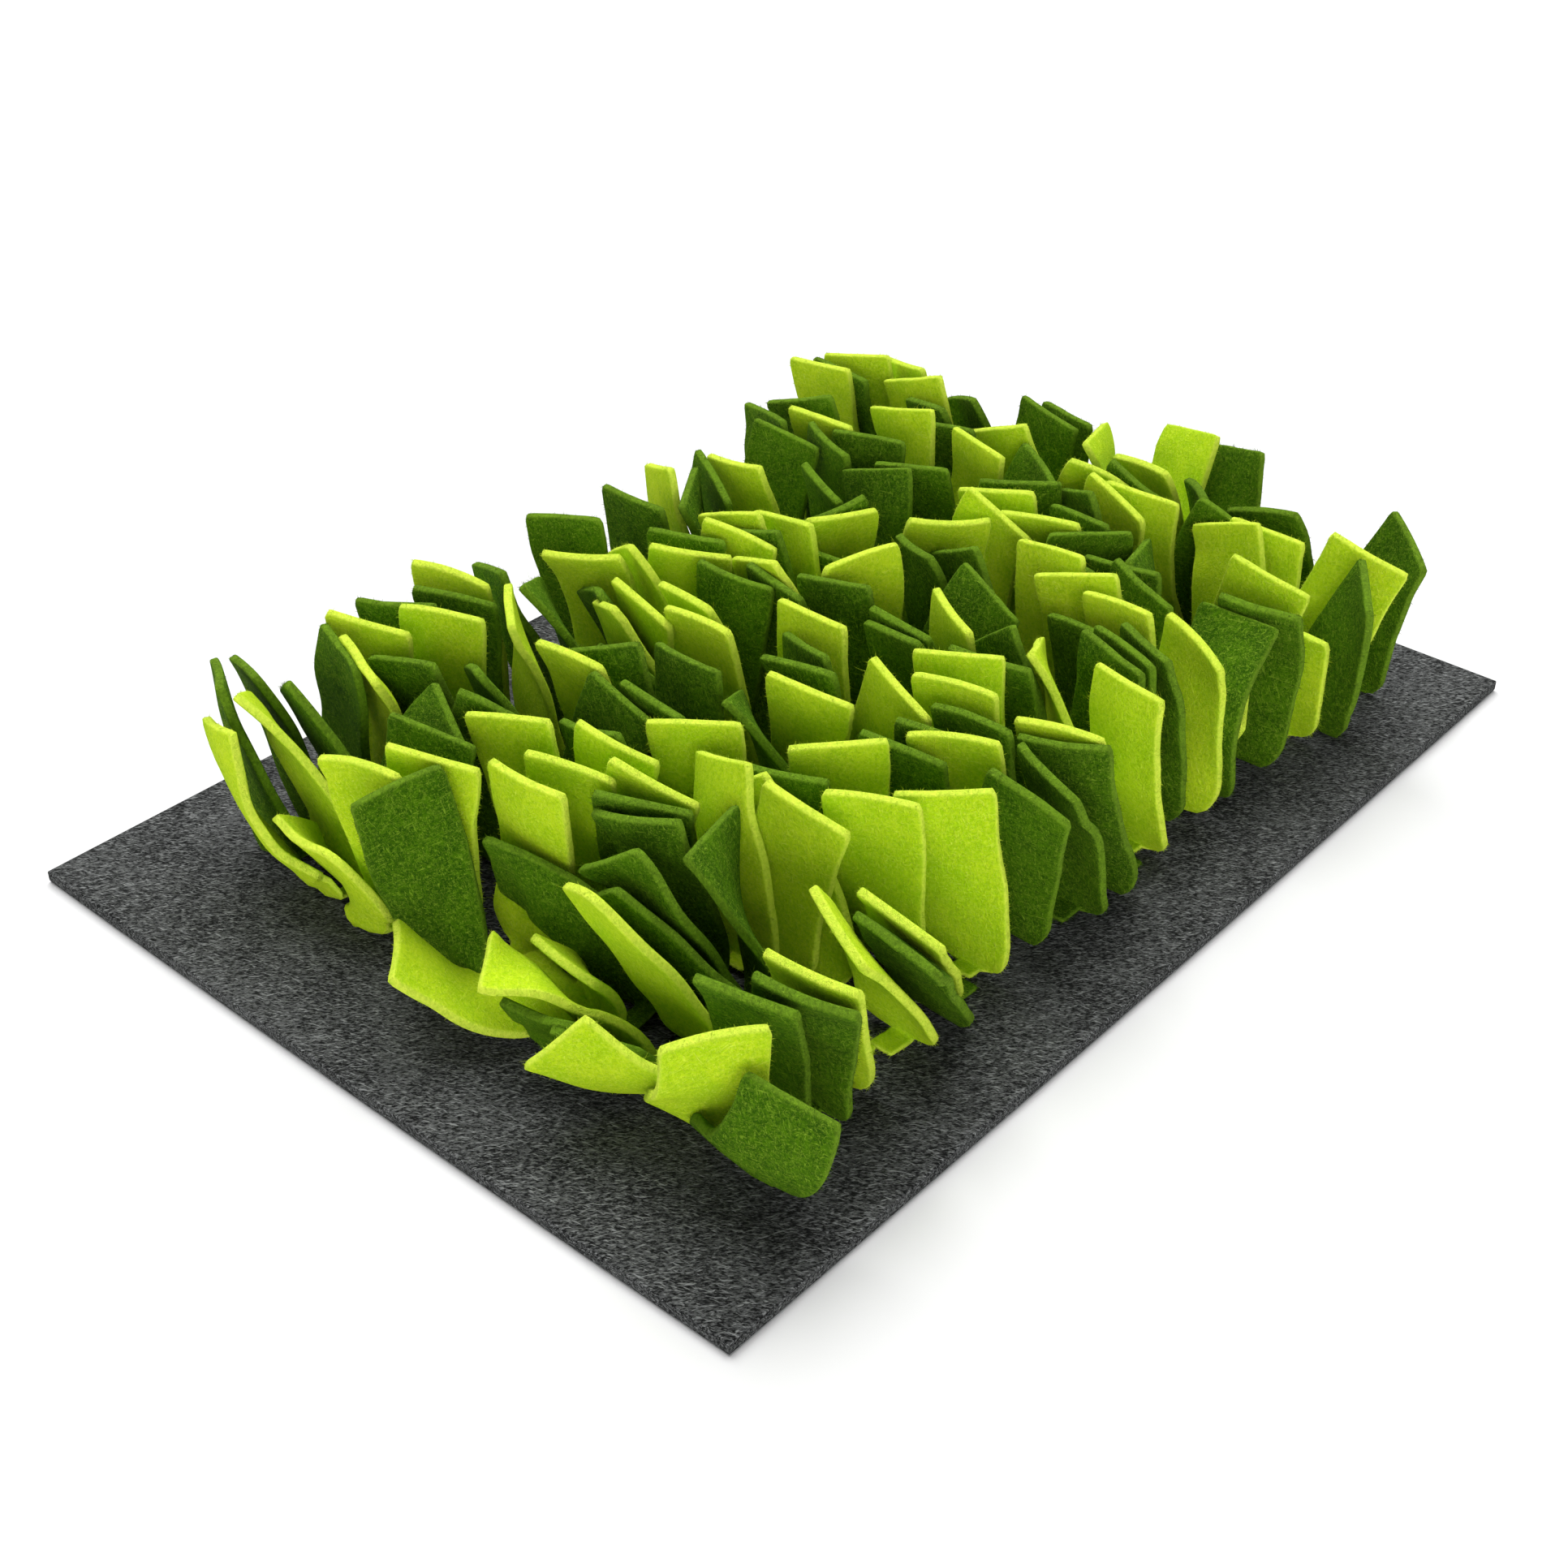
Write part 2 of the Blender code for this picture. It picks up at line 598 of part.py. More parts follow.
def outlined(strip, extra):
    """The strip with its search trees and its box."""
    low, high = np.array(strip["leg"]) + [[-extra], [extra]]
    rings = strip_rings(strip, extra)
    trees = dict(whole=tree_of(rings, (low, high)), above=tree_of(rings[1:], None))
    corners = rings.reshape(-1, 3)
    low = np.minimum(low, corners.min(axis=0))
    high = np.maximum(high, corners.max(axis=0))
    return dict(strip, low=low, high=high, **trees)


def clear_strips(strips):
    """Moves each strip that still cuts an earlier one or a root band, or leaves it out."""
    bands = {}
    for seam, felt in itertools.product(range(SEAM_COUNT), (L, D)):
        bands[seam, felt] = box_tree(*band_box(strips, seam, felt))
    random = np.random.default_rng(MOVE_SEED)
    moves = random.normal(0, 1, (MOVE_TRIES, len(MOVE_SIZES)))
    moves = moves[np.argsort(np.sum(moves * moves, axis=1))] * MOVE_SIZES
    moves[0] = 0
    placed = []
    for strip in sorted(strips, key=lambda s: not s["listed"]):
        key = strip["seam"], strip["felt"]
        for move in moves if strip["listed"] else moves[:1]:
            tried = shifted(strip, move)
            unfold(tried)
            grown = outlined(tried, GAP)
            if any(grown["whole"].overlap(tree) for band, tree in bands.items() if band != key):
                continue
            if not any(meet(grown, other) for other in placed):
                placed.append(dict(outlined(tried, 0), move=move))
                break
    return placed


def material(name):
    made = bpy.data.materials.new(name)
    made.use_nodes = True
    shader = made.node_tree.nodes["Principled BSDF"]
    shader.inputs["Base Color"].default_value = (*FELTS[name]["color"], 1)
    shader.inputs["Roughness"].default_value = FELTS[name]["roughness"]
    shader.inputs["Metallic"].default_value = 0
    return made


def on_mat(point):
    """A point in millimetres from the base's left near corner, in metres from its middle."""
    x, y, z = point
    return ((x - MAT_LENGTH / 2) * MM, (y - MAT_WIDTH / 2) * MM, z * MM)


def new_object(name, points, faces, finish):
    mesh = bpy.data.meshes.new(name)
    mesh.from_pydata([on_mat(point) for point in points], [], faces)
    mesh.materials.append(finish)
    made = bpy.data.objects.new(name, mesh)
    bpy.context.scene.collection.objects.link(made)
    return made


def make_base(finish):
    """The flat base, cut square with small round corners."""
    corners = ((1, 1, 0), (0, 1, 90), (0, 0, 180), (1, 0, 270))
    outline = []
    for right, far, start in corners:
        middle_x = CORNER_RADIUS + right * (MAT_LENGTH - 2 * CORNER_RADIUS)
        middle_y = CORNER_RADIUS + far * (MAT_WIDTH - 2 * CORNER_RADIUS)
        for step in range(CORNER_STEPS + 1):
            angle = math.radians(start + 90 * step / CORNER_STEPS)
            x = middle_x + CORNER_RADIUS * math.cos(angle)
            y = middle_y + CORNER_RADIUS * math.sin(angle)
            outline.append((x, y))
    count = len(outline)
    points = [(x, y, 0) for x, y in outline] + [(x, y, MAT_THICK) for x, y in outline]
    faces = [tuple(reversed(range(count))), tuple(range(count, 2 * count))]
    for i in range(count):
        after = (i + 1) % count
        faces.append((i, after, count + after, count + i))
    return new_object("base_mat", points, faces, finish)


def make_row(strips, placed, seam, felt, finish):
    """One seam's strips of one colour, fused to their root band."""
    low, high = band_box(strips, seam, felt)
    name = f"row_{seam + 1}_{felt}"
    row = new_object(name, box_corners(low, high), ring_faces(2), finish)
    ends = bpy.data.collections.new(name + "_ends")
    bpy.context.scene.collection.children.link(ends)
    for strip in placed:
        if (strip["seam"], strip["felt"]) != (seam, felt):
            continue
        tube = strip_rings(strip).reshape(-1, 3), ring_faces(STRIP_STEPS + 1)
        leg = box_corners(*strip["leg"]), ring_faces(2)
        for points, faces in (tube, leg):
            piece = new_object(name + "_end", points, faces, finish)
            bpy.context.scene.collection.objects.unlink(piece)
            ends.objects.link(piece)
            piece.hide_render = True
            piece.display_type = "WIRE"
    union = row.modifiers.new("Fuse strips", "BOOLEAN")
    union.operation = "UNION"
    union.operand_type = "COLLECTION"
    union.collection = ends
    return row


def main():
    for old in list(bpy.data.objects):
        bpy.data.objects.remove(old, do_unlink=True)
    finishes = {name: material(name) for name in FELTS}
    make_base(finishes["base"])
    strips = listed_strips()
    strips += filler_strips(strips)
    give_root_slots(strips)
    settle(strips)
    placed = clear_strips(strips)
    for seam in range(SEAM_COUNT):
        for felt in (L, D):
            make_row(strips, placed, seam, felt, finishes[felt])
    return strips, placed


main()
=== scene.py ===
"""Snuffle mat, finished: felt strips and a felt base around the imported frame, in studio light.

The layout repeats the part's own: eight seams along Y, and one row of the table for each
standing end. Lengths in the table and in the layout are millimetres from the base's left near
corner, and the meshes are metres from its middle. On those settled lines each end becomes a
3 mm felt strip with round cut edges, a narrow root, soft waves, short fuzz and stray fibres.
"""

import itertools
import json
import math

import bpy
import numpy as np
from mathutils import Matrix, Vector
from mathutils.bvhtree import BVHTree

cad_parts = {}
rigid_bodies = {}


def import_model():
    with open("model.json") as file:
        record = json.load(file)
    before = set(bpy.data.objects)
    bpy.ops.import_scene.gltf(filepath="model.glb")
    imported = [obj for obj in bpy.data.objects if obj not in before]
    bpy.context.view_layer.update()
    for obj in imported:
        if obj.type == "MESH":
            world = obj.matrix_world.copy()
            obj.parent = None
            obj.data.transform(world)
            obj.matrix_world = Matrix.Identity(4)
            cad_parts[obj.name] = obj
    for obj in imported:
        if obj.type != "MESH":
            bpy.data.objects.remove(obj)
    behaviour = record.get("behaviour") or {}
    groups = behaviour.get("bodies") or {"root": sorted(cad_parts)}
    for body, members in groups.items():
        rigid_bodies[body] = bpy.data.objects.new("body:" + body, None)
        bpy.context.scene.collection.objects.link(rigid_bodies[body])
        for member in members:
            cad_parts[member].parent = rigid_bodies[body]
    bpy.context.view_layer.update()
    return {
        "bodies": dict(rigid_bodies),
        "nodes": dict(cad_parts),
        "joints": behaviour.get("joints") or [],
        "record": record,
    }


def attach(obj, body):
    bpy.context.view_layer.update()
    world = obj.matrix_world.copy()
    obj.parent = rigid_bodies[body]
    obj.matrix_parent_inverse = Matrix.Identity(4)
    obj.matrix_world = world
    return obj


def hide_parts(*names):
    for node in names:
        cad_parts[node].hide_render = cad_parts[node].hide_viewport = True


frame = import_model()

MM = 0.001

# Base mat
MAT_LENGTH = 420
MAT_WIDTH = 300
MAT_THICK = 4.5

# Rows of strips, in millimetres from the base's left and near edges
FIRST_SEAM = 65
SEAM_PITCH = 43
SEAM_COUNT = 8
PILE_NEAR = 36
PILE_FAR = 264

# Felt strips
STRIP_LENGTH = 68
STRIP_WIDTH = 30
STRIP_THICK = 3.0
GAP = 0.3
STRIP_STEPS = 5

# Roots: a thin band for each colour, the lime one over the dark one
BAND_HALF = 3.5
BAND_THICK = 1.5
ROOT_LEVEL = {"dark": GAP + BAND_THICK / 2, "lime": 2 * GAP + 1.5 * BAND_THICK}
LEG_THICK = 1.2
LEG_WIDTH = 6.8
LEG_START = 0.8
LEG_PAST = 1.1
FOOT_THICK = 1.5
FOOT_WIDTH = 7.6
SLOT = 8.6
SLOT_ROUNDS = 200
FOOT_LIFT = 2.5
FLARE_END = 16

# Settling. Strips that would cut push each other apart, and each keeps its root and length
SPACING = 5.2
REACH = 16
MARGIN = 1.5
NEAR = 60
ROUNDS = 120
ROUNDS_A_LOOK = 10
PUSH = 1.2
TURN_PUSH = 0.8
HOLD = 0.05
TURN_HOLD = 0.1
LISTED_HOLD = 2.0
FILLER_WEIGHT = 0.2
BEND_EASE = 0.15
TWIST_EASE = 0.1
NEAREST_FOOT = 6
FARTHEST_FOOT = 21
MOVE_SIZES = (8, 8, 4, 14)
MOVE_TRIES = 500
MOVE_SEED = 5
EASINGS = 15
LEAST_ADVANCE = 0.2
NARROWER = 0.88
UNTWIST = 0.3
LOWEST = 6.0
ACROSS = np.array([-1, -0.5, 0, 0.5, 1])

# Strips added between the listed ones, but not where a seam's side is bare between two places.
# Each pair is a middle value and how far it strays, in millimetres or degrees
FILL_PITCH = 21
FILL_START = 6
FILL_ACROSS = (9, 1)
FILL_STRAY_ALONG = 3
FILL_STRAY_TOWARD = 70
FILL_LEAN = (14, 10)
FILL_CURL = 10
FILL_TURN = (90, 30)
BARE = {(0, -1): (115, 158)}
FILL_SEED = 11

# Each strip's own curl, in degrees
OWN_CURL = 20
CURL_SEED = 4

# One list for each seam, one row for each standing end:
# across  along  felt  toward  lean  curl  turn  length
# across is the foot's distance from the seam and along its distance from the near edge, in mm.
# It leans by lean degrees toward a heading, 0 along +X and 90 along +Y. curl is how much more
# it leans at its tip than at its foot, turn is the heading of its tip's edge, and length, given
# where it is less than a full strip's, is in mm.
L, D = "lime", "dark"
COLUMNS = ("across", "along", "felt", "toward", "lean", "curl", "turn", "length")
SEAMS = {}
SEAMS[0] = [
    (6, 120, L, 133, 61, -28, 52, 66),
    (-6, 90, L, 122, 54, -30, 45, 54),
    (13, 104, D, 100, 61, 25, 98),
    (-8, 60, L, -129, 33, -90, 150),
    (-4, 42, D, -131, 39, -90, 95, 62),
    (-15, 161, D, -117, 12, 10, 157),
    (-4, 179, L, -118, 14, 10, 109),
    (-7, 184, L, 180, 12, 15, 105),
    (11, 151, L, -115, 7, 15, 98),
    (-14, 190, L, 95, 66, -20, 60, 45),
    (7, 52, D, -145, 22, 10, 105),
    (15, 41, D, -147, 29, 12, 106),
    (13, 70, L, 122, 33, 20, 85),
    (19, 62, L, 167, 28, 10, 101),
    (-12, 216, L, 110, 31, 15, 80),
    (-7, 226, L, 100, 27, 15, 75),
    (3, 237, D, 100, 27, 15, 75),
    (8, 221, D, 110, 29, 20, 80),
    (17, 230, L, 105, 28, 30, 85),
    (-11, 246, D, 100, 16, 20, 60),
    (-4, 58, L, 150, 60, -20, 135, 58),
    (21, 68, D, 117, 46, 20, 92),
    (-10, 165, L, -117, 11, 10, 157),
    (-20, 103, D, 180, 10, 10, 92, 28),
    (-15, 113, L, 180, 8, 10, 85, 34),
    (-13, 79, D, 170, 30, -20, 105, 34),
    (-11, 70, L, -170, 45, -60, 95, 34),
]
SEAMS[1] = [
    (-16, 45, L, -149, 27, 8, 101),
    (1, 44, L, -171, 27, 10, 57),
    (7, 44, D, -173, 29, 10, 54),
    (-10, 68, D, 90, 21, 20, 11),
    (12, 72, L, 92, 33, 10, 90),
    (4, 80, D, -138, 11, 12, 96),
    (10, 85, L, -118, 12, 10, 96),
    (9, 98, L, 77, 13, 20, 74),
    (-11, 122, D, -139, 15, 8, 115),
    (-7, 132, L, -115, 17, 10, 104),
    (9, 133, D, 112, 22, 10, 86),
    (9, 156, L, -122, 17, 10, 98),
    (11, 175, D, -84, 17, 10, 87),
    (9, 187, D, 81, 23, 20, 65),
    (-10, 196, D, -105, 16, 10, 113),
    (4, 237, L, -39, 6, 8, 115),
    (6, 250, D, 60, 3, 12, 120),
]
SEAMS[2] = [
    (-12, 46, L, -155, 35, 15, 85),
    (-17, 44, D, -155, 38, 15, 87),
    (2, 44, L, 153, 9, 6, 122),
    (-9, 65, L, -176, 7, 8, 113),
    (9, 73, D, -150, 7, 8, 99),
    (-9, 93, D, -178, 14, 20, 106),
    (9, 92, L, -178, 13, 10, 140),
    (9, 109, D, 94, 29, 30, 49),
    (9, 150, D, 121, 4, 10, 83),
    (15, 158, D, 98, 33, 10, 68),
    (15, 179, L, 85, 23, 15, 62),
    (-9, 184, L, 173, 12, 15, 90),
    (-10, 216, L, 139, 6, 25, 49),
    (15, 214, D, 93, 24, 20, 48),
    (15, 229, D, 107, 23, 10, 77),
    (-9, 252, D, -128, 13, 8, 115),
    (5, 262, L, -133, 11, 10, 115),
]
SEAMS[3] = [
    (-15, 46, D, -139, 19, 15, 91),
    (12, 68, D, 176, 15, 10, 94),
    (9, 83, L, 176, 3, 8, 98),
    (19, 88, L, 103, 5, 8, 113),
    (-8, 112, L, -103, 16, 8, 76),
    (-5, 118, D, 98, 17, 8, 70),
    (-14, 124, D, 158, 9, 8, 92),
    (9, 139, L, 146, 7, 8, 86),
    (-2, 167, L, 172, 13, 8, 89),
    (-9, 180, L, 156, 12, 8, 82),
    (-14, 189, D, 96, 31, 10, 68),
    (9, 196, D, -86, 12, 10, 98),
    (9, 209, L, 111, 20, 10, 76),
    (6, 222, L, -65, 18, 10, 132),
    (-9, 231, L, -174, 8, 10, 118),
    (9, 250, D, 161, 11, 12, 114),
]
SEAMS[4] = [
    (-18, 43, D, 180, 23, 15, 108),
    (-11, 45, L, 180, 29, 15, 104),
    (4, 44, L, -178, 9, 5, 75),
    (15, 50, D, 90, 5, 5, 70),
    (-11, 54, L, 74, 29, 10, 31),
    (-9, 74, D, 67, 27, 25, 74),
    (-15, 84, D, 173, 7, 8, 101),
    (9, 110, L, 174, 13, 8, 60),
    (-11, 118, D, 167, 15, 10, 81),
    (-7, 147, D, 143, 12, 10, 100),
    (9, 161, L, -170, 5, 8, 163),
    (-5, 185, D, 102, 16, 35, 87),
    (13, 202, L, 121, 20, 25, 98),
    (-11, 221, D, -148, 11, 10, 113),
    (11, 229, D, 121, 4, 40, 33),
    (9, 242, L, 98, 15, 30, 67),
    (-11, 248, D, -174, 5, 25, 92),
]
SEAMS[5] = [
    (-10, 45, L, -126, 5, 6, 75),
    (-18, 48, D, 117, 5, 8, 62),
    (8, 72, L, -60, 50, -60, 40, 52),
    (-12, 71, L, 152, 7, 8, 81),
    (-9, 118, D, 89, 24, 10, 76),
    (-7, 136, D, 132, 18, 10, 62),
    (9, 165, L, -121, 16, 10, 145),
    (-3, 191, D, -167, 17, 10, 160),
    (-12, 201, L, -122, 21, 10, 167),
    (9, 205, D, 175, 12, 20, 66),
]
SEAMS[6] = [
    (-10, 46, D, -152, 12, 5, 96),
    (-4, 49, L, -83, 4, 5, 98),
    (12, 42, L, -160, 10, 5, 90, 45),
    (-9, 70, D, 65, 27, 15, 20),
    (-9, 117, D, -134, 13, 10, 137),
    (9, 122, D, 89, 11, 10, 61),
    (-11, 129, L, -175, 11, 8, 104),
    (13, 132, L, -110, 17, 10, 79),
    (9, 152, D, -166, 14, 8, 132),
    (-9, 185, D, 150, 7, 8, 107),
    (5, 241, L, -176, 11, 12, 92),
    (9, 255, D, 135, 7, 15, 102),
]
SEAMS[7] = [
    (-9, 44, L, -118, 17, 8, 97),
    (-20, 42, D, -100, 18, 5, 39),
    (14, 41, D, -100, 15, 5, 54),
    (-11, 69, L, -152, 11, 10, 93),
    (6, 70, D, 157, 11, 15, 94),
    (15, 80, L, -72, 18, 5, 149),
    (9, 81, D, 117, 18, 15, 46),
    (11, 90, L, -168, 16, 10, 118),
    (9, 124, L, 150, 17, 10, 86),
    (14, 128, L, 2, 24, 35, 60),
    (-9, 132, D, -125, 15, 10, 86),
    (12, 136, L, 99, 21, 10, 26),
    (-11, 176, L, 126, 10, 10, 99),
    (9, 185, D, -51, 10, 5, 83),
    (-9, 194, D, 139, 11, 8, 91),
    (10, 197, D, 118, 22, 8, 74),
    (14, 203, L, 22, 30, 10, 95),
    (-9, 210, D, 111, 10, 8, 64),
    (3, 223, L, 115, 14, 8, 95),
    (14, 229, L, 98, 20, 8, 71),
    (16, 259, L, 129, 12, 8, 105),
    (8, 262, D, 158, 12, 8, 88),
    (3, 265, L, 145, 14, 8, 95),
]


def smooth(value):
    """0 below 0, 1 above 1 and an S-shaped rise between."""
    value = np.clip(value, 0.0, 1.0)
    return value * value * (3 - 2 * value)


def listed_strips():
    """Every listed end, as a dictionary, with its seam's number."""
    return [
        dict(length=STRIP_LENGTH, seam=seam, listed=True) | dict(zip(COLUMNS, row))
        for seam, rows in SEAMS.items()
        for row in rows
    ]


def filler_strips(listed):
    """Ends for the stretches of each seam's two sides that no listed end takes."""
    random = np.random.default_rng(FILL_SEED)
    strips = []
    for seam in range(SEAM_COUNT):
        for side in (-1, 1):
            taken = [s["along"] for s in listed if s["seam"] == seam and s["across"] * side > 0]
            bare_from, bare_to = BARE.get((seam, side), (0, 0))
            for along in np.arange(PILE_NEAR + FILL_START, PILE_FAR, FILL_PITCH):
                values = random.uniform(-1, 1, 6)
                near = any(abs(along - other) < FILL_PITCH / 2 for other in taken)
                if near or bare_from < along < bare_to:
                    continue
                strips.append(
                    dict(
                        seam=seam,
                        across=side * (FILL_ACROSS[0] + FILL_ACROSS[1] * values[0]),
                        along=along + FILL_STRAY_ALONG * values[1],
                        felt=L if values[2] > 0 else D,
                        toward=90 - 90 * side + FILL_STRAY_TOWARD * values[3],
                        lean=FILL_LEAN[0] + FILL_LEAN[1] * values[4],
                        curl=FILL_CURL,
                        turn=FILL_TURN[0] + FILL_TURN[1] * values[5],
                        length=STRIP_LENGTH,
                        listed=False,
                    )
                )
    return strips


def give_root_slots(strips):
    """Spreads the roots along each side of a seam, so that no two cross."""
    for seam in range(SEAM_COUNT):
        for side in (-1, 1):
            group = [s for s in strips if s["seam"] == seam and s["across"] * side > 0]
            group.sort(key=lambda s: s["along"])
            slots = [s["along"] for s in group]
            for _ in range(SLOT_ROUNDS):
                for i in range(len(slots) - 1):
                    short = SLOT - (slots[i + 1] - slots[i])
                    if short > 0:
                        slots[i] -= short / 2
                        slots[i + 1] += short / 2
            for strip, slot in zip(group, slots):
                strip["slot"] = slot


def unit(vectors):
    """The vectors, each made one long."""
    return vectors / np.maximum(np.linalg.norm(vectors, axis=-1, keepdims=True), 1e-9)


def square_to(edges, along):
    """Edge directions turned square to the strips' directions."""
    return unit(edges - along * np.sum(edges * along, axis=-1, keepdims=True))


def directions(lines):
    """Which way each line runs at each of its points."""
    return unit(np.gradient(lines, axis=1))


def first_lines(strips):
    """Each strip's centre points and edge directions as its row gives them, before settling."""
    share = np.linspace(0, 1, STRIP_STEPS + 1)
    random = np.random.default_rng(CURL_SEED)
    lines, edges = [], []
    for strip in strips:
        curl = strip["curl"] + OWN_CURL * random.normal()
        lean = np.radians(strip["lean"] + curl * (share - 0.5))
        middle = (lean[1:] + lean[:-1]) / 2
        step = strip["length"] / STRIP_STEPS
        out = np.concatenate([[0], np.cumsum(np.sin(middle)) * step])
        up = np.concatenate([[0], np.cumsum(np.cos(middle)) * step])
        heading = math.radians(strip["toward"])
        x = FIRST_SEAM + SEAM_PITCH * strip["seam"] + strip["across"] + out * math.cos(heading)
        y = strip["along"] + out * math.sin(heading)
        z = MAT_THICK + ROOT_LEVEL[strip["felt"]] + up + FOOT_LIFT * smooth(share * 7)
        twist = np.radians(90 + (strip["turn"] - 90) * smooth(share / 0.6))
        lines.append(np.column_stack([x, y, z]))
        edges.append(np.column_stack([np.cos(twist), np.sin(twist), 0 * twist]))
    lines = np.array(lines)
    return lines, square_to(np.array(edges), directions(lines))


def half_widths(strips):
    """Half of each strip's width at its stations: a narrow root that flares to the full width."""
    share = np.linspace(0, 1, STRIP_STEPS + 1)
    distance = np.array([strip["length"] for strip in strips])[:, None] * share
    flare = smooth(distance / FLARE_END)
    return FOOT_WIDTH / 2 + (STRIP_WIDTH - FOOT_WIDTH) / 2 * flare


def offsets(lines, edges, widths, one, other):
    """Where each point of strip one lies against each segment of strip other."""
    sides = ACROSS[None, None, :, None]
    points = lines[one][:, :, None] + edges[one][:, :, None] * widths[one][:, :, None, None] * sides
    points = points.reshape(len(one), -1, 3)
    ends = lines[other]
    along = unit(ends[:, 1:] - ends[:, :-1])
    edge = square_to(edges[other][:, 1:] + edges[other][:, :-1], along)
    face = np.cross(along, edge)
    apart = points[:, :, None] - ((ends[:, 1:] + ends[:, :-1]) / 2)[:, None]
    frame = [np.einsum("mqkc,mkc->mqk", apart, axis) for axis in (along, edge, face)]
    half = (widths[other][:, 1:] + widths[other][:, :-1]) / 2
    length = np.linalg.norm(ends[:, 1:] - ends[:, :-1], axis=-1)
    inside = np.abs(frame[0]) < length[:, None] / 2 + MARGIN
    inside &= np.abs(frame[1]) < half[:, None] + MARGIN
    return frame, inside, face, half, length


def neighbours(lines):
    """Every ordered pair of strips whose middles are near each other."""
    middles = lines[:, STRIP_STEPS // 2]
    apart = np.linalg.norm(middles[:, None] - middles[None], axis=-1)
    np.fill_diagonal(apart, 2 * NEAR)
    return np.nonzero(apart < NEAR)


def sides_of(lines, edges, widths, one, other):
    """Which face of strip other strip one is on, by where most of it is."""
    frame, inside, face, _, _ = offsets(lines, edges, widths, one, other)
    close = inside & (np.abs(frame[2]) < REACH)
    lean = np.sum(np.where(close, frame[2], 0), axis=(1, 2))
    middle_face = face[:, STRIP_STEPS // 2]
    between = lines[one][:, 3:].mean(axis=1) - lines[other][:, 3:].mean(axis=1)
    fallback = np.sum(between * middle_face, axis=-1)
    lean = np.where(close.any(axis=(1, 2)), lean, fallback)
    return np.where(lean >= 0, 1.0, -1.0)


def push_apart(lines, edges, widths, one, other, sides, heft):
    """One round of pushes between the pairs of strips. Returns the moves of lines and edges."""
    yields = heft[other] / (heft[one] + heft[other])
    frame, inside, face, half, length = offsets(lines, edges, widths, one, other)
    depth = SPACING - sides[:, None, None] * frame[2]
    active = inside & (depth > 0) & (depth < REACH)
    pair, point, segment = np.nonzero(active)
    push = face[pair, segment] * (sides[pair] * depth[pair, point, segment])[:, None]
    give = (1 - yields[pair])[:, None] * push
    push = yields[pair][:, None] * push
    moves = np.zeros((*lines.shape[:2], 2, 3))
    weights = np.zeros((*lines.shape[:2], 2))
    station = point // len(ACROSS)
    right = (1 + ACROSS[point % len(ACROSS)]) / 2
    for side, share in ((0, 1 - right), (1, right)):
        np.add.at(moves, (one[pair], station, side), push * share[:, None])
        np.add.at(weights, (one[pair], station, side), share)
    upper = np.clip(0.5 + frame[0][pair, point, segment] / length[pair, segment], 0, 1)
    right = np.clip(0.5 + frame[1][pair, point, segment] / half[pair, segment] / 2, 0, 1)
    for end, end_share in ((0, 1 - upper), (1, upper)):
        for side, side_share in ((0, 1 - right), (1, right)):
            share = end_share * side_share
            np.add.at(moves, (other[pair], segment + end, side), -give * share[:, None])
            np.add.at(weights, (other[pair], segment + end, side), share)
    per_side = moves / np.maximum(weights, 0.5)[..., None]
    turn = (per_side[:, :, 1] - per_side[:, :, 0]) / (2 * widths[..., None])
    return per_side.mean(axis=2), turn


def feet_held(across, seams, sign):
    """The feet's places across, held to their side of the seam and near it."""
    return seams + sign * np.clip((across - seams) * sign, NEAREST_FOOT, FARTHEST_FOOT)


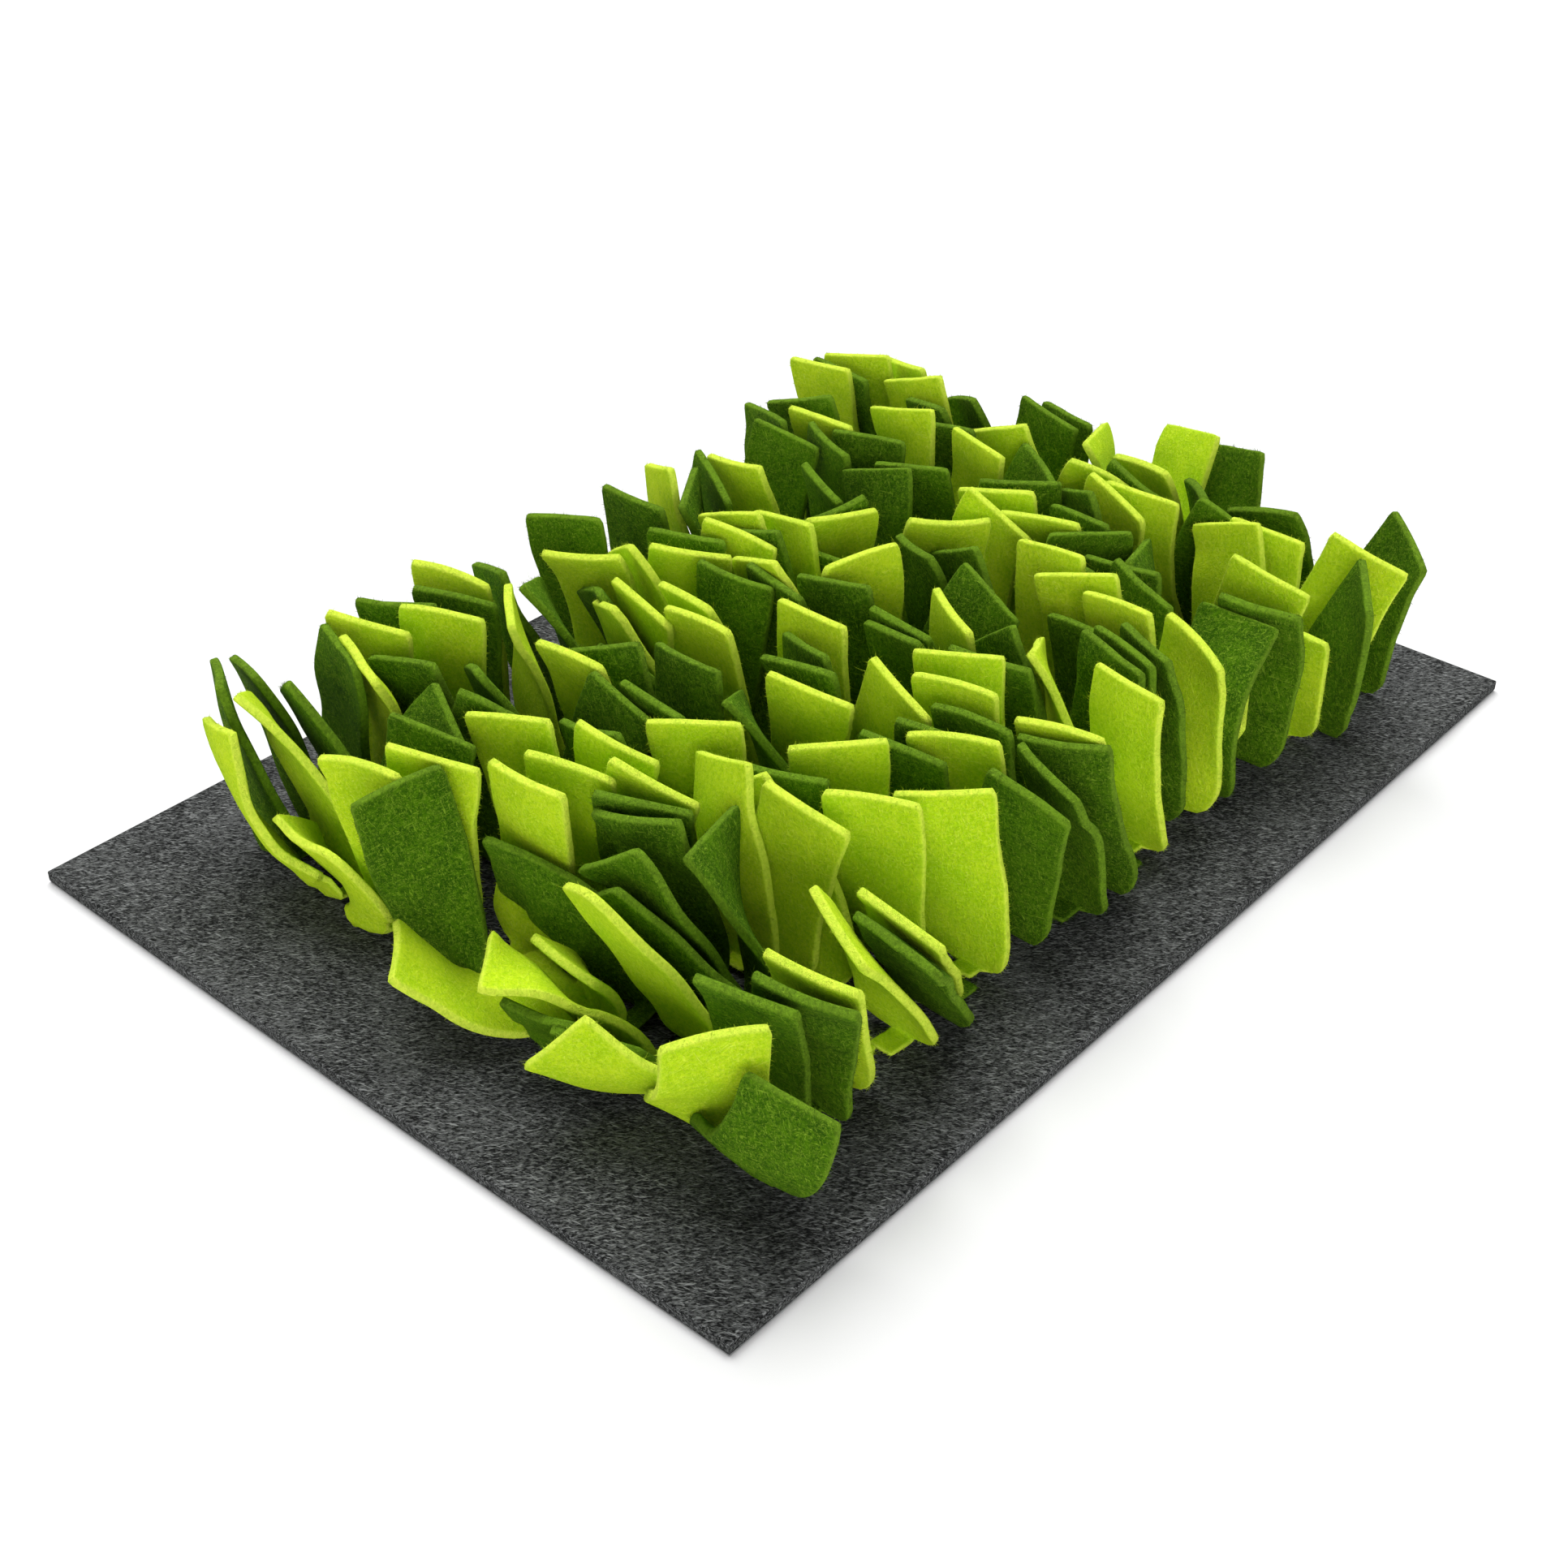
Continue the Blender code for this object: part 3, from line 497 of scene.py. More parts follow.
def settle(strips):
    """Moves the strips until they lie beside one another, as felt pushed together does."""
    lines, edges = first_lines(strips)
    widths = half_widths(strips)
    tips, tip_edges = lines[:, -1].copy(), edges[:, -1].copy()
    seams = np.array([FIRST_SEAM + SEAM_PITCH * s["seam"] for s in strips])
    slots = np.array([s["slot"] for s in strips])
    roots = lines[:, 0].copy()
    roots[:, 1] = slots
    sign = np.sign(roots[:, 0] - seams)
    roots[:, 0] = feet_held(roots[:, 0], seams, sign)
    steps = np.array([s["length"] / STRIP_STEPS for s in strips])
    share = np.linspace(0, 1, STRIP_STEPS + 1)[None, :, None]
    natural = (lines[:, :-2] + lines[:, 2:]) / 2 - lines[:, 1:-1]
    lines += (1 - smooth(share * 3)) * (roots - lines[:, 0])[:, None]
    listed = np.array([s["listed"] for s in strips])
    heft = np.where(listed, 1.0, FILLER_WEIGHT)
    firm = np.where(listed, LISTED_HOLD, 1.0)[:, None]
    for number in range(ROUNDS):
        if number % ROUNDS_A_LOOK == 0:
            one, other = neighbours(lines)
            sides = sides_of(lines, edges, widths, one, other)
        move, turn = push_apart(lines, edges, widths, one, other, sides, heft)
        lines += PUSH * move
        edges = unit(edges + TURN_PUSH * turn)
        hold = HOLD * (1 - number / ROUNDS)
        lines[:, -1] += hold * firm * (tips - lines[:, -1])
        edges[:, -1] = unit(edges[:, -1] + TURN_HOLD * firm * (tip_edges - edges[:, -1]))
        bend = (lines[:, :-2] + lines[:, 2:]) / 2 - lines[:, 1:-1] - natural
        lines[:, 1:-1] += BEND_EASE * bend
        twist = edges[:, :-2] + edges[:, 2:] - 2 * edges[:, 1:-1]
        edges[:, 1:-1] = unit(edges[:, 1:-1] + TWIST_EASE * twist)
        lowest = MAT_THICK + LOWEST + np.abs(edges[:, 1:, 2]) * widths[:, 1:]
        lines[:, 1:, 2] = np.maximum(lines[:, 1:, 2], lowest)
        lines[:, 0, 0] = feet_held(lines[:, 0, 0], seams, sign)
        lines[:, 0, 1:] = roots[:, 1:]
        edges[:, 0] = (0, 1, 0)
        for station in range(STRIP_STEPS):
            way = unit(lines[:, station + 1] - lines[:, station])
            lines[:, station + 1] = lines[:, station] + way * steps[:, None]
        edges = square_to(edges, directions(lines))
    for strip, line, edge, width, seam in zip(strips, lines, edges, widths, seams):
        set_shape(strip, seam, line, edge, width)
        unfold(strip)


def set_shape(strip, seam, line, edge, width):
    """Gives a strip its settled stations, and a level leg from the seam to its foot."""
    foot_x, foot_y, level = line[0]
    side = math.copysign(1, foot_x - seam)
    ends = sorted((seam + side * LEG_START, foot_x + side * LEG_PAST))
    low = (ends[0], foot_y - LEG_WIDTH / 2, level - LEG_THICK / 2)
    high = (ends[1], foot_y + LEG_WIDTH / 2, level + LEG_THICK / 2)
    distance = np.linspace(0, strip["length"], STRIP_STEPS + 1)
    strip["leg"] = low, high
    strip["points"] = line.copy()
    strip["edges"] = edge.copy()
    strip["half_width"] = width.copy()
    strip["half_thick"] = (FOOT_THICK + (STRIP_THICK - FOOT_THICK) * smooth(distance / 10)) / 2


def shifted(strip, move):
    """A copy of a settled strip with its tip moved over, its root kept."""
    share = np.linspace(0, 1, STRIP_STEPS + 1)[:, None]
    points = strip["points"] + share * move[:3]
    angle = math.radians(move[3]) * share[:, 0]
    x, y, z = strip["edges"].T
    turned = (x * np.cos(angle) - y * np.sin(angle), x * np.sin(angle) + y * np.cos(angle), z)
    width = strip["half_width"].copy()
    return dict(strip, points=points, edges=np.column_stack(turned), half_width=width)


def strip_rings(strip, extra=0.0):
    """Four corners around each station of a strip's line, grown by extra on every side."""
    points = strip["points"]
    along = unit(np.gradient(points, axis=0))
    edge = square_to(strip["edges"], along)
    face = np.cross(along, edge)
    rings = []
    for sign_w, sign_t in ((-1, -1), (1, -1), (1, 1), (-1, 1)):
        corner = points + edge * (sign_w * (strip["half_width"] + extra))[:, None]
        rings.append(corner + face * (sign_t * (strip["half_thick"] + extra))[:, None])
    rings = np.stack(rings, axis=1)
    sunk = MAT_THICK + GAP - rings[:, :, 2].min(axis=1)
    rings[:, :, 2] += np.maximum(sunk, 0)[:, None]
    return rings


def unfold(strip):
    """Eases a strip where one ring would cross the next: less width low down, less turn above."""
    for _ in range(EASINGS):
        rings = strip_rings(strip)
        steps = np.diff(strip["points"], axis=0)
        length = np.linalg.norm(steps, axis=1)
        advance = np.einsum("kqc,kc->kq", np.diff(rings, axis=0), unit(steps)).min(axis=1)
        folded = np.nonzero(advance < LEAST_ADVANCE * length)[0]
        if not len(folded):
            return
        for station in folded:
            if station <= 1:
                strip["half_width"][station + 1] *= NARROWER
            else:
                both = strip["edges"][station : station + 2]
                both += UNTWIST * (both.mean(axis=0) - both)


def ring_faces(count):
    """Faces of a closed four-sided tube. Both broad sides are split along the same diagonal."""
    faces = [(3, 2, 1, 0)]
    for ring in range(count - 1):
        a, b = ring * 4, ring * 4 + 4
        faces += [(a, a + 1, b + 1), (a, b + 1, b)]
        faces.append((a + 1, a + 2, b + 2, b + 1))
        faces += [(a + 2, a + 3, b + 2), (a + 3, b + 3, b + 2)]
        faces.append((a + 3, a, b, b + 3))
    last = 4 * (count - 1)
    faces.append((last, last + 1, last + 2, last + 3))
    return faces


def box_corners(low, high):
    """The eight corners of a box, its floor first."""
    plan = ((low[0], low[1]), (high[0], low[1]), (high[0], high[1]), (low[0], high[1]))
    return [(x, y, z) for z in (low[2], high[2]) for x, y in plan]


def tree_of(rings, leg):
    """Search tree of a strip's tube, and of its leg if one is given."""
    corners = rings.reshape(-1, 3).tolist()
    faces = ring_faces(len(rings))
    if leg:
        faces += [tuple(i + len(corners) for i in face) for face in ring_faces(2)]
        corners += box_corners(*leg)
    return BVHTree.FromPolygons(corners, faces)


def band_box(strips, seam, felt):
    """Corners of the root band that holds one felt's strips at a seam."""
    slots = [s["slot"] for s in strips if s["seam"] == seam and s["felt"] == felt]
    middle = FIRST_SEAM + SEAM_PITCH * seam
    level = MAT_THICK + ROOT_LEVEL[felt]
    low = (middle - BAND_HALF, min(slots) - LEG_WIDTH, level - BAND_THICK / 2)
    high = (middle + BAND_HALF, max(slots) + LEG_WIDTH, level + BAND_THICK / 2)
    return low, high


def meet(one, other):
    """True if two strips come within the gap of each other above their shared root."""
    if np.any(one["low"] > other["high"]) or np.any(one["high"] < other["low"]):
        return False
    if (one["seam"], one["felt"]) == (other["seam"], other["felt"]):
        return bool(one["above"].overlap(other["above"]))
    return bool(one["whole"].overlap(other["whole"]))


def outlined(strip, extra):
    """The strip with its search trees and its box."""
    low, high = np.array(strip["leg"]) + [[-extra], [extra]]
    rings = strip_rings(strip, extra)
    trees = dict(whole=tree_of(rings, (low, high)), above=tree_of(rings[1:], None))
    corners = rings.reshape(-1, 3)
    low = np.minimum(low, corners.min(axis=0))
    high = np.maximum(high, corners.max(axis=0))
    return dict(strip, low=low, high=high, **trees)


def clear_strips(strips):
    """Moves each strip that still cuts an earlier one or a root band, or leaves it out."""
    bands = {}
    for seam, felt in itertools.product(range(SEAM_COUNT), (L, D)):
        corners = box_corners(*band_box(strips, seam, felt))
        bands[seam, felt] = BVHTree.FromPolygons(corners, ring_faces(2))
    random = np.random.default_rng(MOVE_SEED)
    moves = random.normal(0, 1, (MOVE_TRIES, len(MOVE_SIZES)))
    moves = moves[np.argsort(np.sum(moves * moves, axis=1))] * MOVE_SIZES
    moves[0] = 0
    placed = []
    for strip in sorted(strips, key=lambda s: not s["listed"]):
        key = strip["seam"], strip["felt"]
        for move in moves if strip["listed"] else moves[:1]:
            tried = shifted(strip, move)
            unfold(tried)
            grown = outlined(tried, GAP)
            if any(grown["whole"].overlap(tree) for band, tree in bands.items() if band != key):
                continue
            if not any(meet(grown, other) for other in placed):
                placed.append(outlined(tried, 0))
                break
    return placed


# Finished strips: stations along a strip, closer at its root, and lanes across it
STATIONS = 34
CLOSER = 1.4
LANES = np.array([-1, -0.88, -0.62, -0.32, 0, 0.32, 0.62, 0.88, 1])
EDGE_ANGLES = (30, 60, 90)
LOOK_SEED = 21

# Their shape in millimetres, and shares of one
TIP_LANE = 1.6
EDGE_ROUND = 0.85
EDGE_ROUGH = 0.06
CORNER_SHARE = 0.65
CORNER_CUT = 0.6
ROOT_HALF_WIDTH = 4.4
ROOT_FLARE = 12
ROOT_BEND = 0.35
ROOT_THICKENS = 9
CUP_DEPTH = 1.8
CUP_END = 44
TIP_CUP = 0.8
SWAY = 0.45
MOST_SWAY = 0.1
SWAY_LENGTH = 55
LOWEST_FELT = MAT_THICK + 0.1
ABOVE_BASE = 0.2

# Soft waves of the strips' faces, as lengths and sizes, and curls of their tips, in millimetres
WAVES = ((52, 0.6), (27, 0.3))
WAVE_SLANT = 1.5
WAVE_RISE = 30
TIP_CURL = 1.3
TIP_CURL_LENGTH = 18
MOST_WAVE = 1.9

# Fibres, in millimetres: short fuzz all over, most of it on the cut edges, and longer stray ones
FIBRE_RADIUS = 0.035
FIBRE_LENGTHS = (0.7, 1.8)
LONG_FIBRES = 0.1
FIBRE_LEAN = 0.8
FIBRE_BEND = 0.5
# How much painted highlight the fibres and fuzz get, as a share of one.
FIBRE_PAINTED_HIGHLIGHT = 0.7
FIBRES_PER_STRIP = 40
FUZZ_RADIUS = 0.085
FUZZ_PER_STRIP = 540
FUZZ_ON_EDGES = 0.7
SHORTEST_FUZZ = 0.4
EDGE_FUZZ = dict(lean=0.6, longest=1.6)
FACE_FUZZ = dict(lean=1.6, longest=1.0)
TRIANGLE = np.radians([0, 120, 240])

# The base's fine surface, in millimetres
BASE_STEP = 4
BASE_ROUND = 0.7
BASE_BOW = 0.9

# Felt colours from darkest to palest, as linear red, green and blue
LIME_COLOURS = ((0.39, 0.67, 0.003), (0.59, 0.82, 0.013), (0.86, 0.96, 0.13))
DARK_COLOURS = ((0.022, 0.078, 0.001), (0.07, 0.18, 0.002), (0.29, 0.46, 0.035))
BASE_COLOURS = ((0.005, 0.0053, 0.0054), (0.082, 0.085, 0.084), (0.27, 0.28, 0.277))
BASE_SHEEN = (0.6, 0.62, 0.6)

# Studio: floor in metres, and world light from the horizon's heights up to overhead
FLOOR_REACH = 9
FLOOR_COLOUR = (0.69, 0.69, 0.69, 1)
HORIZON = (0.15, 0.5)
WORLD_LIGHT = (1.0, 0.2)

# Camera, in metres and degrees
CAMERA_PLACE = (-0.47749, -0.40285, 0.42479)
CAMERA_YAW = 48.739
CAMERA_PITCH = 34.322
CAMERA_LENS = 49.8
SENSOR = 36


def on_mat(points):
    """Points in millimetres from the base's left near corner, in metres from its middle."""
    return (np.asarray(points) - (MAT_LENGTH / 2, MAT_WIDTH / 2, 0)) * MM


def through(knots, values, at):
    """A smooth curve through values at the knots, read at other places."""
    slopes = np.gradient(values, knots, axis=0)
    spot = np.clip(np.searchsorted(knots, at) - 1, 0, len(knots) - 2)
    step = (knots[spot + 1] - knots[spot])[:, None]
    t = (at - knots[spot])[:, None] / step
    before, after = values[spot], values[spot + 1]
    curve = before * (1 + 2 * t) * (1 - t) ** 2 + after * t * t * (3 - 2 * t)
    curve += step * (slopes[spot] * t * (1 - t) ** 2 - slopes[spot + 1] * t * t * (1 - t))
    return curve


def above_base(points):
    """The points, with none lower than just over the base."""
    points[..., 2] = np.maximum(points[..., 2], LOWEST_FELT)
    return points


def fine_stations(strip, random):
    """Centre points, edge directions, faces, half widths, half thicknesses and places along."""
    seam = FIRST_SEAM + SEAM_PITCH * strip["seam"]
    foot = strip["points"][0]
    side = math.copysign(1, foot[0] - seam)
    start = np.array([seam + side * LEG_START, foot[1], foot[2]])
    bend = foot + ROOT_BEND * (strip["points"][1] - foot)
    lines = np.vstack([start, foot, bend, strip["points"][1:]])
    edges = np.vstack([[0, 1, 0], strip["edges"][:1], strip["edges"][:1], strip["edges"][1:]])
    reach = np.linalg.norm(np.diff(lines, axis=0), axis=1)
    knots = np.concatenate([[0], np.cumsum(reach)])
    last = knots[-1] - EDGE_ROUND
    at = np.append(np.linspace(0, 1, STATIONS - 1) ** CLOSER * (last - TIP_LANE), last)
    points = through(knots, lines, at)
    along = unit(np.gradient(points, at, axis=0))
    edge = square_to(through(knots, edges, at), along)
    height = at - reach[0]
    low = 1 - np.clip((height + 1) / ROOT_FLARE, 0, 1)
    flare = np.sqrt(1 - low * low)
    half_width = ROOT_HALF_WIDTH + (STRIP_WIDTH / 2 - ROOT_HALF_WIDTH) * flare
    sway = SWAY * np.sin(2 * math.pi * height / SWAY_LENGTH + random.uniform(0, 2 * math.pi))
    half_width += np.minimum(sway, MOST_SWAY) * flare
    half_width[-1] -= random.uniform(0.2, 1) * CORNER_CUT
    thick = FOOT_THICK + (STRIP_THICK - FOOT_THICK) * smooth(height / ROOT_THICKENS)
    under = np.abs(edge[:, 2]) * half_width + thick / 2 + ABOVE_BASE
    points[:, 2] = np.maximum(points[:, 2], MAT_THICK + under)
    along = unit(np.gradient(points, at, axis=0))
    edge = square_to(edge, along)
    face = np.cross(along, edge)
    outward = np.sign(np.sum(face * (side, 0, 0), axis=1).sum())
    return points, along, edge, face, half_width, thick / 2, height, outward


def face_shape(height, outward, random):
    """How far a strip's face stands off its middle plane, for each station and lane."""
    cup = CUP_DEPTH * outward * smooth(height / ROOT_FLARE) * (1 - smooth(height / CUP_END))
    cup = cup + random.normal(0, TIP_CUP) * smooth(height / CUP_END)
    shape = cup[:, None] * (1 / 3 - LANES**2)
    waves = np.zeros_like(shape)
    for length, size in WAVES:
        phase = random.uniform(0, 2 * math.pi) + random.uniform(-WAVE_SLANT, WAVE_SLANT) * LANES
        waves += random.normal(0, size) * np.sin(2 * math.pi * height[:, None] / length + phase)
    curl = random.normal(0, TIP_CURL) * (1 + random.uniform(-1, 1) * LANES)
    tip = smooth((height - height[-1] + TIP_CURL_LENGTH) / TIP_CURL_LENGTH)[:, None]
    waves = waves * smooth(height / WAVE_RISE)[:, None] + tip * curl
    return shape + np.clip(waves, -MOST_WAVE, MOST_WAVE)


def grid_rim(rows, columns):
    """The places round the border of a grid, in order."""
    rim = [(i, 0) for i in range(rows)] + [(rows - 1, j) for j in range(1, columns)]
    rim += [(i, columns - 1) for i in range(rows - 2, -1, -1)]
    rim += [(0, j) for j in range(columns - 2, 0, -1)]
    return np.array(rim)


def closed_faces(rows, columns, rings):
    """Quads of a shape given as its top grid, its bottom grid and the rings between them."""
    starts = np.cumsum([0] + [len(ring) for ring in rings])
    i, j = (n.ravel() for n in np.meshgrid(range(rows - 1), range(columns - 1), indexing="ij"))
    corner = i * columns + j
    quads = np.column_stack([corner, corner + 1, corner + columns + 1, corner + columns])
    faces = [quads[:, ::-1], quads + starts[1]]
    rim = grid_rim(rows, columns)
    flat = rim[:, 0] * columns + rim[:, 1]
    here = np.arange(len(rim))
    after = (here + 1) % len(rim)
    loops = [flat, *(start + here for start in starts[2:-1]), starts[1] + flat]
    for one, other in zip(loops, loops[1:]):
        faces.append(np.column_stack([one[here], other[here], other[after], one[after]]))
    return np.vstack(faces)


def facing_out(points, faces):
    """The quads of a closed shape, turned round if they face inwards."""
    one, two, three, four = (points[faces[:, i]] for i in range(4))
    volume = np.sum(np.cross(one, two) * three) + np.sum(np.cross(one, three) * four)
    return faces[:, ::-1] if volume < 0 else faces


def strip_body(strip, random):
    """Points and faces of one felt strip, and how far each point is onto its cut edge, 0 to 1,
    which sets how much painted highlight it gets.
    """
    fine = fine_stations(strip, random)
    points, along, edge, face, half_width, half_thick, height, outward = fine
    shape = face_shape(height, outward, random)
    across = len(LANES)

    def place(station, lane, ahead, out, lift):
        """Points at a station and lane, moved ahead, outwards across the width and off the face."""
        y = LANES[lane] * (half_width[station] - EDGE_ROUND) + out
        spot = points[station] + along[station] * ahead[:, None] + edge[station] * y[:, None]
        return spot + face[station] * (shape[station, lane] + lift)[:, None]

    station, lane = (n.ravel() for n in np.meshgrid(range(STATIONS), range(across), indexing="ij"))
    none = np.zeros(len(station))
    rings = [place(station, lane, none, none, sign * half_thick[station]) for sign in (1, -1)]
    # Face points beside the cut edges get a little of the painted highlight too.
    side = np.where((lane == 0) | (lane == across - 1) | (station == STATIONS - 1), 0.15, 0.0)
    edged = [side, side]
    at, lane_of = grid_rim(STATIONS, across).T
    ahead = np.where(at == STATIONS - 1, 1.0, np.where(at == 0, -1.0, 0.0))
    out = np.where(lane_of == 0, -1.0, np.where(lane_of == across - 1, 1.0, 0.0))
    bulge = np.where((ahead != 0) & (out != 0), CORNER_SHARE, 1.0) * EDGE_ROUND
    bulge += random.normal(0, EDGE_ROUGH, len(at)) * smooth(height[at] / ROOT_FLARE)
    for sign in (1, -1):
        for angle in EDGE_ANGLES if sign > 0 else reversed(EDGE_ANGLES):
            grow = bulge * math.sin(math.radians(angle))
            drop = np.minimum(EDGE_ROUND, half_thick[at]) * (1 - math.cos(math.radians(angle)))
            lift = sign * (half_thick[at] - drop)
            rings.append(place(at, lane_of, ahead * grow, out * grow, lift))
            edged.append(np.full(len(at), min(1, angle / 60)))
    body = above_base(np.vstack(rings))
    faces = facing_out(body, closed_faces(STATIONS, across, rings))
    return body, faces, np.concatenate(edged)


def fibre_roots(points, faces, chosen, random):
    """Random places on chosen quads, and the directions straight out of them."""
    corners = points[faces[chosen]]
    u, v = random.uniform(0, 1, (2, len(chosen), 1))
    near = corners[:, 0] * (1 - u) + corners[:, 1] * u
    far = corners[:, 3] * (1 - u) + corners[:, 2] * u
    out = unit(np.cross(corners[:, 1] - corners[:, 0], corners[:, 3] - corners[:, 0]))
    return near * (1 - v) + far * v, out


def corner_ways(way):
    """Directions to the corners of a triangle that stands square to each way."""
    way = unit(way)
    side = unit(np.cross(way, (0.3, 0.5, 0.8)))
    other = np.cross(way, side)
    return side[:, None] * np.cos(TRIANGLE)[:, None] + other[:, None] * np.sin(TRIANGLE)[:, None]


def tubes(lines, radii):
    """Closed three-sided tubes along many short lines of the same number of points."""
    count, steps = lines.shape[:2]
    ring = corner_ways(lines[:, -1] - lines[:, 0])
    points = above_base(lines[:, :, None] + ring[:, None] * np.array(radii)[:, None, None])
    base = np.arange(count)[:, None] * 3 * steps
    quads = []
    for low in range(0, 3 * (steps - 1), 3):
        for i in range(3):
            a, b = low + i, low + (i + 1) % 3
            quads.append(np.hstack([base + a, base + b, base + b + 3, base + a + 3]))
    top = 3 * (steps - 1)
    ends = [base + [2, 1, 0], base + [top, top + 1, top + 2]]
    return points.reshape(-1, 3), np.vstack(quads).tolist() + np.vstack(ends).tolist()


def spikes(roots, tips):
    """Closed three-sided points from the roots to the tips."""
    feet = roots[:, None] + FUZZ_RADIUS * corner_ways(tips - roots)
    points = above_base(np.concatenate([tips[:, None], feet], axis=1).reshape(-1, 3))
    base = np.arange(len(tips))[:, None] * 4
    faces = [base + corner for corner in ([3, 2, 1], [1, 2, 0], [2, 3, 0], [3, 1, 0])]
    return points, np.vstack(faces).tolist()


def fibres(points, faces, edged, random):
    """Short fuzz and longer bent stray fibres that stand out of one strip."""
    on_edge = np.nonzero(edged[faces].min(axis=1) > 0.9)[0]
    on_face = np.nonzero(edged[faces].max(axis=1) < 0.5)[0]
    stray = random.choice(on_edge, FIBRES_PER_STRIP)
    root, out = fibre_roots(points, faces, stray, random)
    way = unit(out + random.normal(0, FIBRE_LEAN, out.shape))
    bend = random.normal(0, FIBRE_BEND, out.shape)
    length = random.uniform(*FIBRE_LENGTHS, len(out))
    length *= 1 + (random.uniform(size=len(out)) < LONG_FIBRES)
    share = np.array([-0.15, 0.4, 1.0])[:, None]
    line = (way[:, None] + bend[:, None] * share) * share * length[:, None, None]
    made = [tubes(root[:, None] + line, FIBRE_RADIUS * np.array([1, 0.8, 0.35]))]
    edge_count = int(FUZZ_ON_EDGES * FUZZ_PER_STRIP)
    for chosen, fuzz in (
        (random.choice(on_edge, edge_count), EDGE_FUZZ),
        (random.choice(on_face, FUZZ_PER_STRIP - edge_count), FACE_FUZZ),
    ):
        root, out = fibre_roots(points, faces, chosen, random)
        way = unit(out + random.normal(0, fuzz["lean"], out.shape))
        way += out * np.maximum(0.15 - np.sum(way * out, axis=1), 0)[:, None]
        length = random.uniform(SHORTEST_FUZZ, fuzz["longest"], len(out))[:, None]
        made.append(spikes(root - 0.1 * out, root + way * length))
    return made


def shown(name, data):
    """A new object in the scene."""
    thing = bpy.data.objects.new(name, data)
    bpy.context.scene.collection.objects.link(thing)
    return thing


def new_piece(name, points, faces, finish, **values):
    """A smooth mesh object from points in millimetres, with named numbers for each point."""
    mesh = bpy.data.meshes.new(name)
    mesh.from_pydata([tuple(point) for point in on_mat(points)], [], faces)
    mesh.materials.append(finish)
    mesh.shade_smooth()
    for key, numbers in values.items():
        mesh.attributes.new(key, "FLOAT", "POINT").data.foreach_set("value", numbers)
    return shown(name, mesh)


def make_strips(placed, seam, felt, finish, random):
    """The visible strips of one colour in one row, as one piece that stands for its node."""
    points, faces, tones, edges = [], [], [], []
    start = 0
    for strip in placed:
        if (strip["seam"], strip["felt"]) != (seam, felt):
            continue
        body, quads, edged = strip_body(strip, random)
        tone = random.uniform(-1, 1)
        made = [(body, quads.tolist())] + fibres(body, quads, edged, random)
        for number, (places, sides) in enumerate(made):
            faces += [[index + start for index in side] for side in sides]
            points.append(places)
            edges.append(edged if number == 0 else np.full(len(places), FIBRE_PAINTED_HIGHLIGHT))
            tones.append(np.full(len(places), tone))
            start += len(places)
    # The edge numbers become the attribute that paints the highlight on cut edges and fibres.
    values = dict(tone=np.concatenate(tones), edge=np.concatenate(edges))
    piece = new_piece(f"row_{seam + 1}_{felt}_strips", np.vstack(points), faces, finish, **values)
    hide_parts(f"row_{seam + 1}_{felt}")
    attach(piece, "root")
    return piece


def make_base(finish):
    """The base's felt, with cut edges that are a little round and bow out very slightly."""
    across = np.linspace(0, 1, MAT_LENGTH // BASE_STEP + 1)
    along = np.linspace(0, 1, MAT_WIDTH // BASE_STEP + 1)

    def level(u, v, inset, z):
        """The base's points at u and v from 0 to 1 and at a height, drawn in from its edge."""
        bow_x = BASE_BOW * (1 - (2 * v - 1) ** 2) * (2 * u - 1)
        bow_y = BASE_BOW * (1 - (2 * u - 1) ** 2) * (2 * v - 1)
        x = inset + u * (MAT_LENGTH - 2 * inset) + bow_x
        y = inset + v * (MAT_WIDTH - 2 * inset) + bow_y
        return np.column_stack([x, y, np.full(len(x), z)])

    u, v = (grid.ravel() for grid in np.meshgrid(across, along, indexing="ij"))
    rim = grid_rim(len(across), len(along))
    rim_u, rim_v = across[rim[:, 0]], along[rim[:, 1]]
    slight = 0.3 * BASE_ROUND
    rings = [
        level(u, v, BASE_ROUND, MAT_THICK),
        level(u, v, BASE_ROUND, 0),
        level(rim_u, rim_v, slight, MAT_THICK - slight),
        level(rim_u, rim_v, 0, MAT_THICK - BASE_ROUND),
        level(rim_u, rim_v, 0, BASE_ROUND),
        level(rim_u, rim_v, slight, slight),
    ]
    points = np.vstack(rings)
    faces = facing_out(points, closed_faces(len(across), len(along), rings))
    piece = new_piece("base_felt_mat", points, faces.tolist(), finish)
    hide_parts("base_mat")
    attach(piece, "root")
    return piece


def set_range(node, *limits):
    """Sets where a Map Range node's values come from and go to."""
    for name, number in zip(("From Min", "From Max", "To Min", "To Max"), limits):
        node.inputs[name].default_value = number


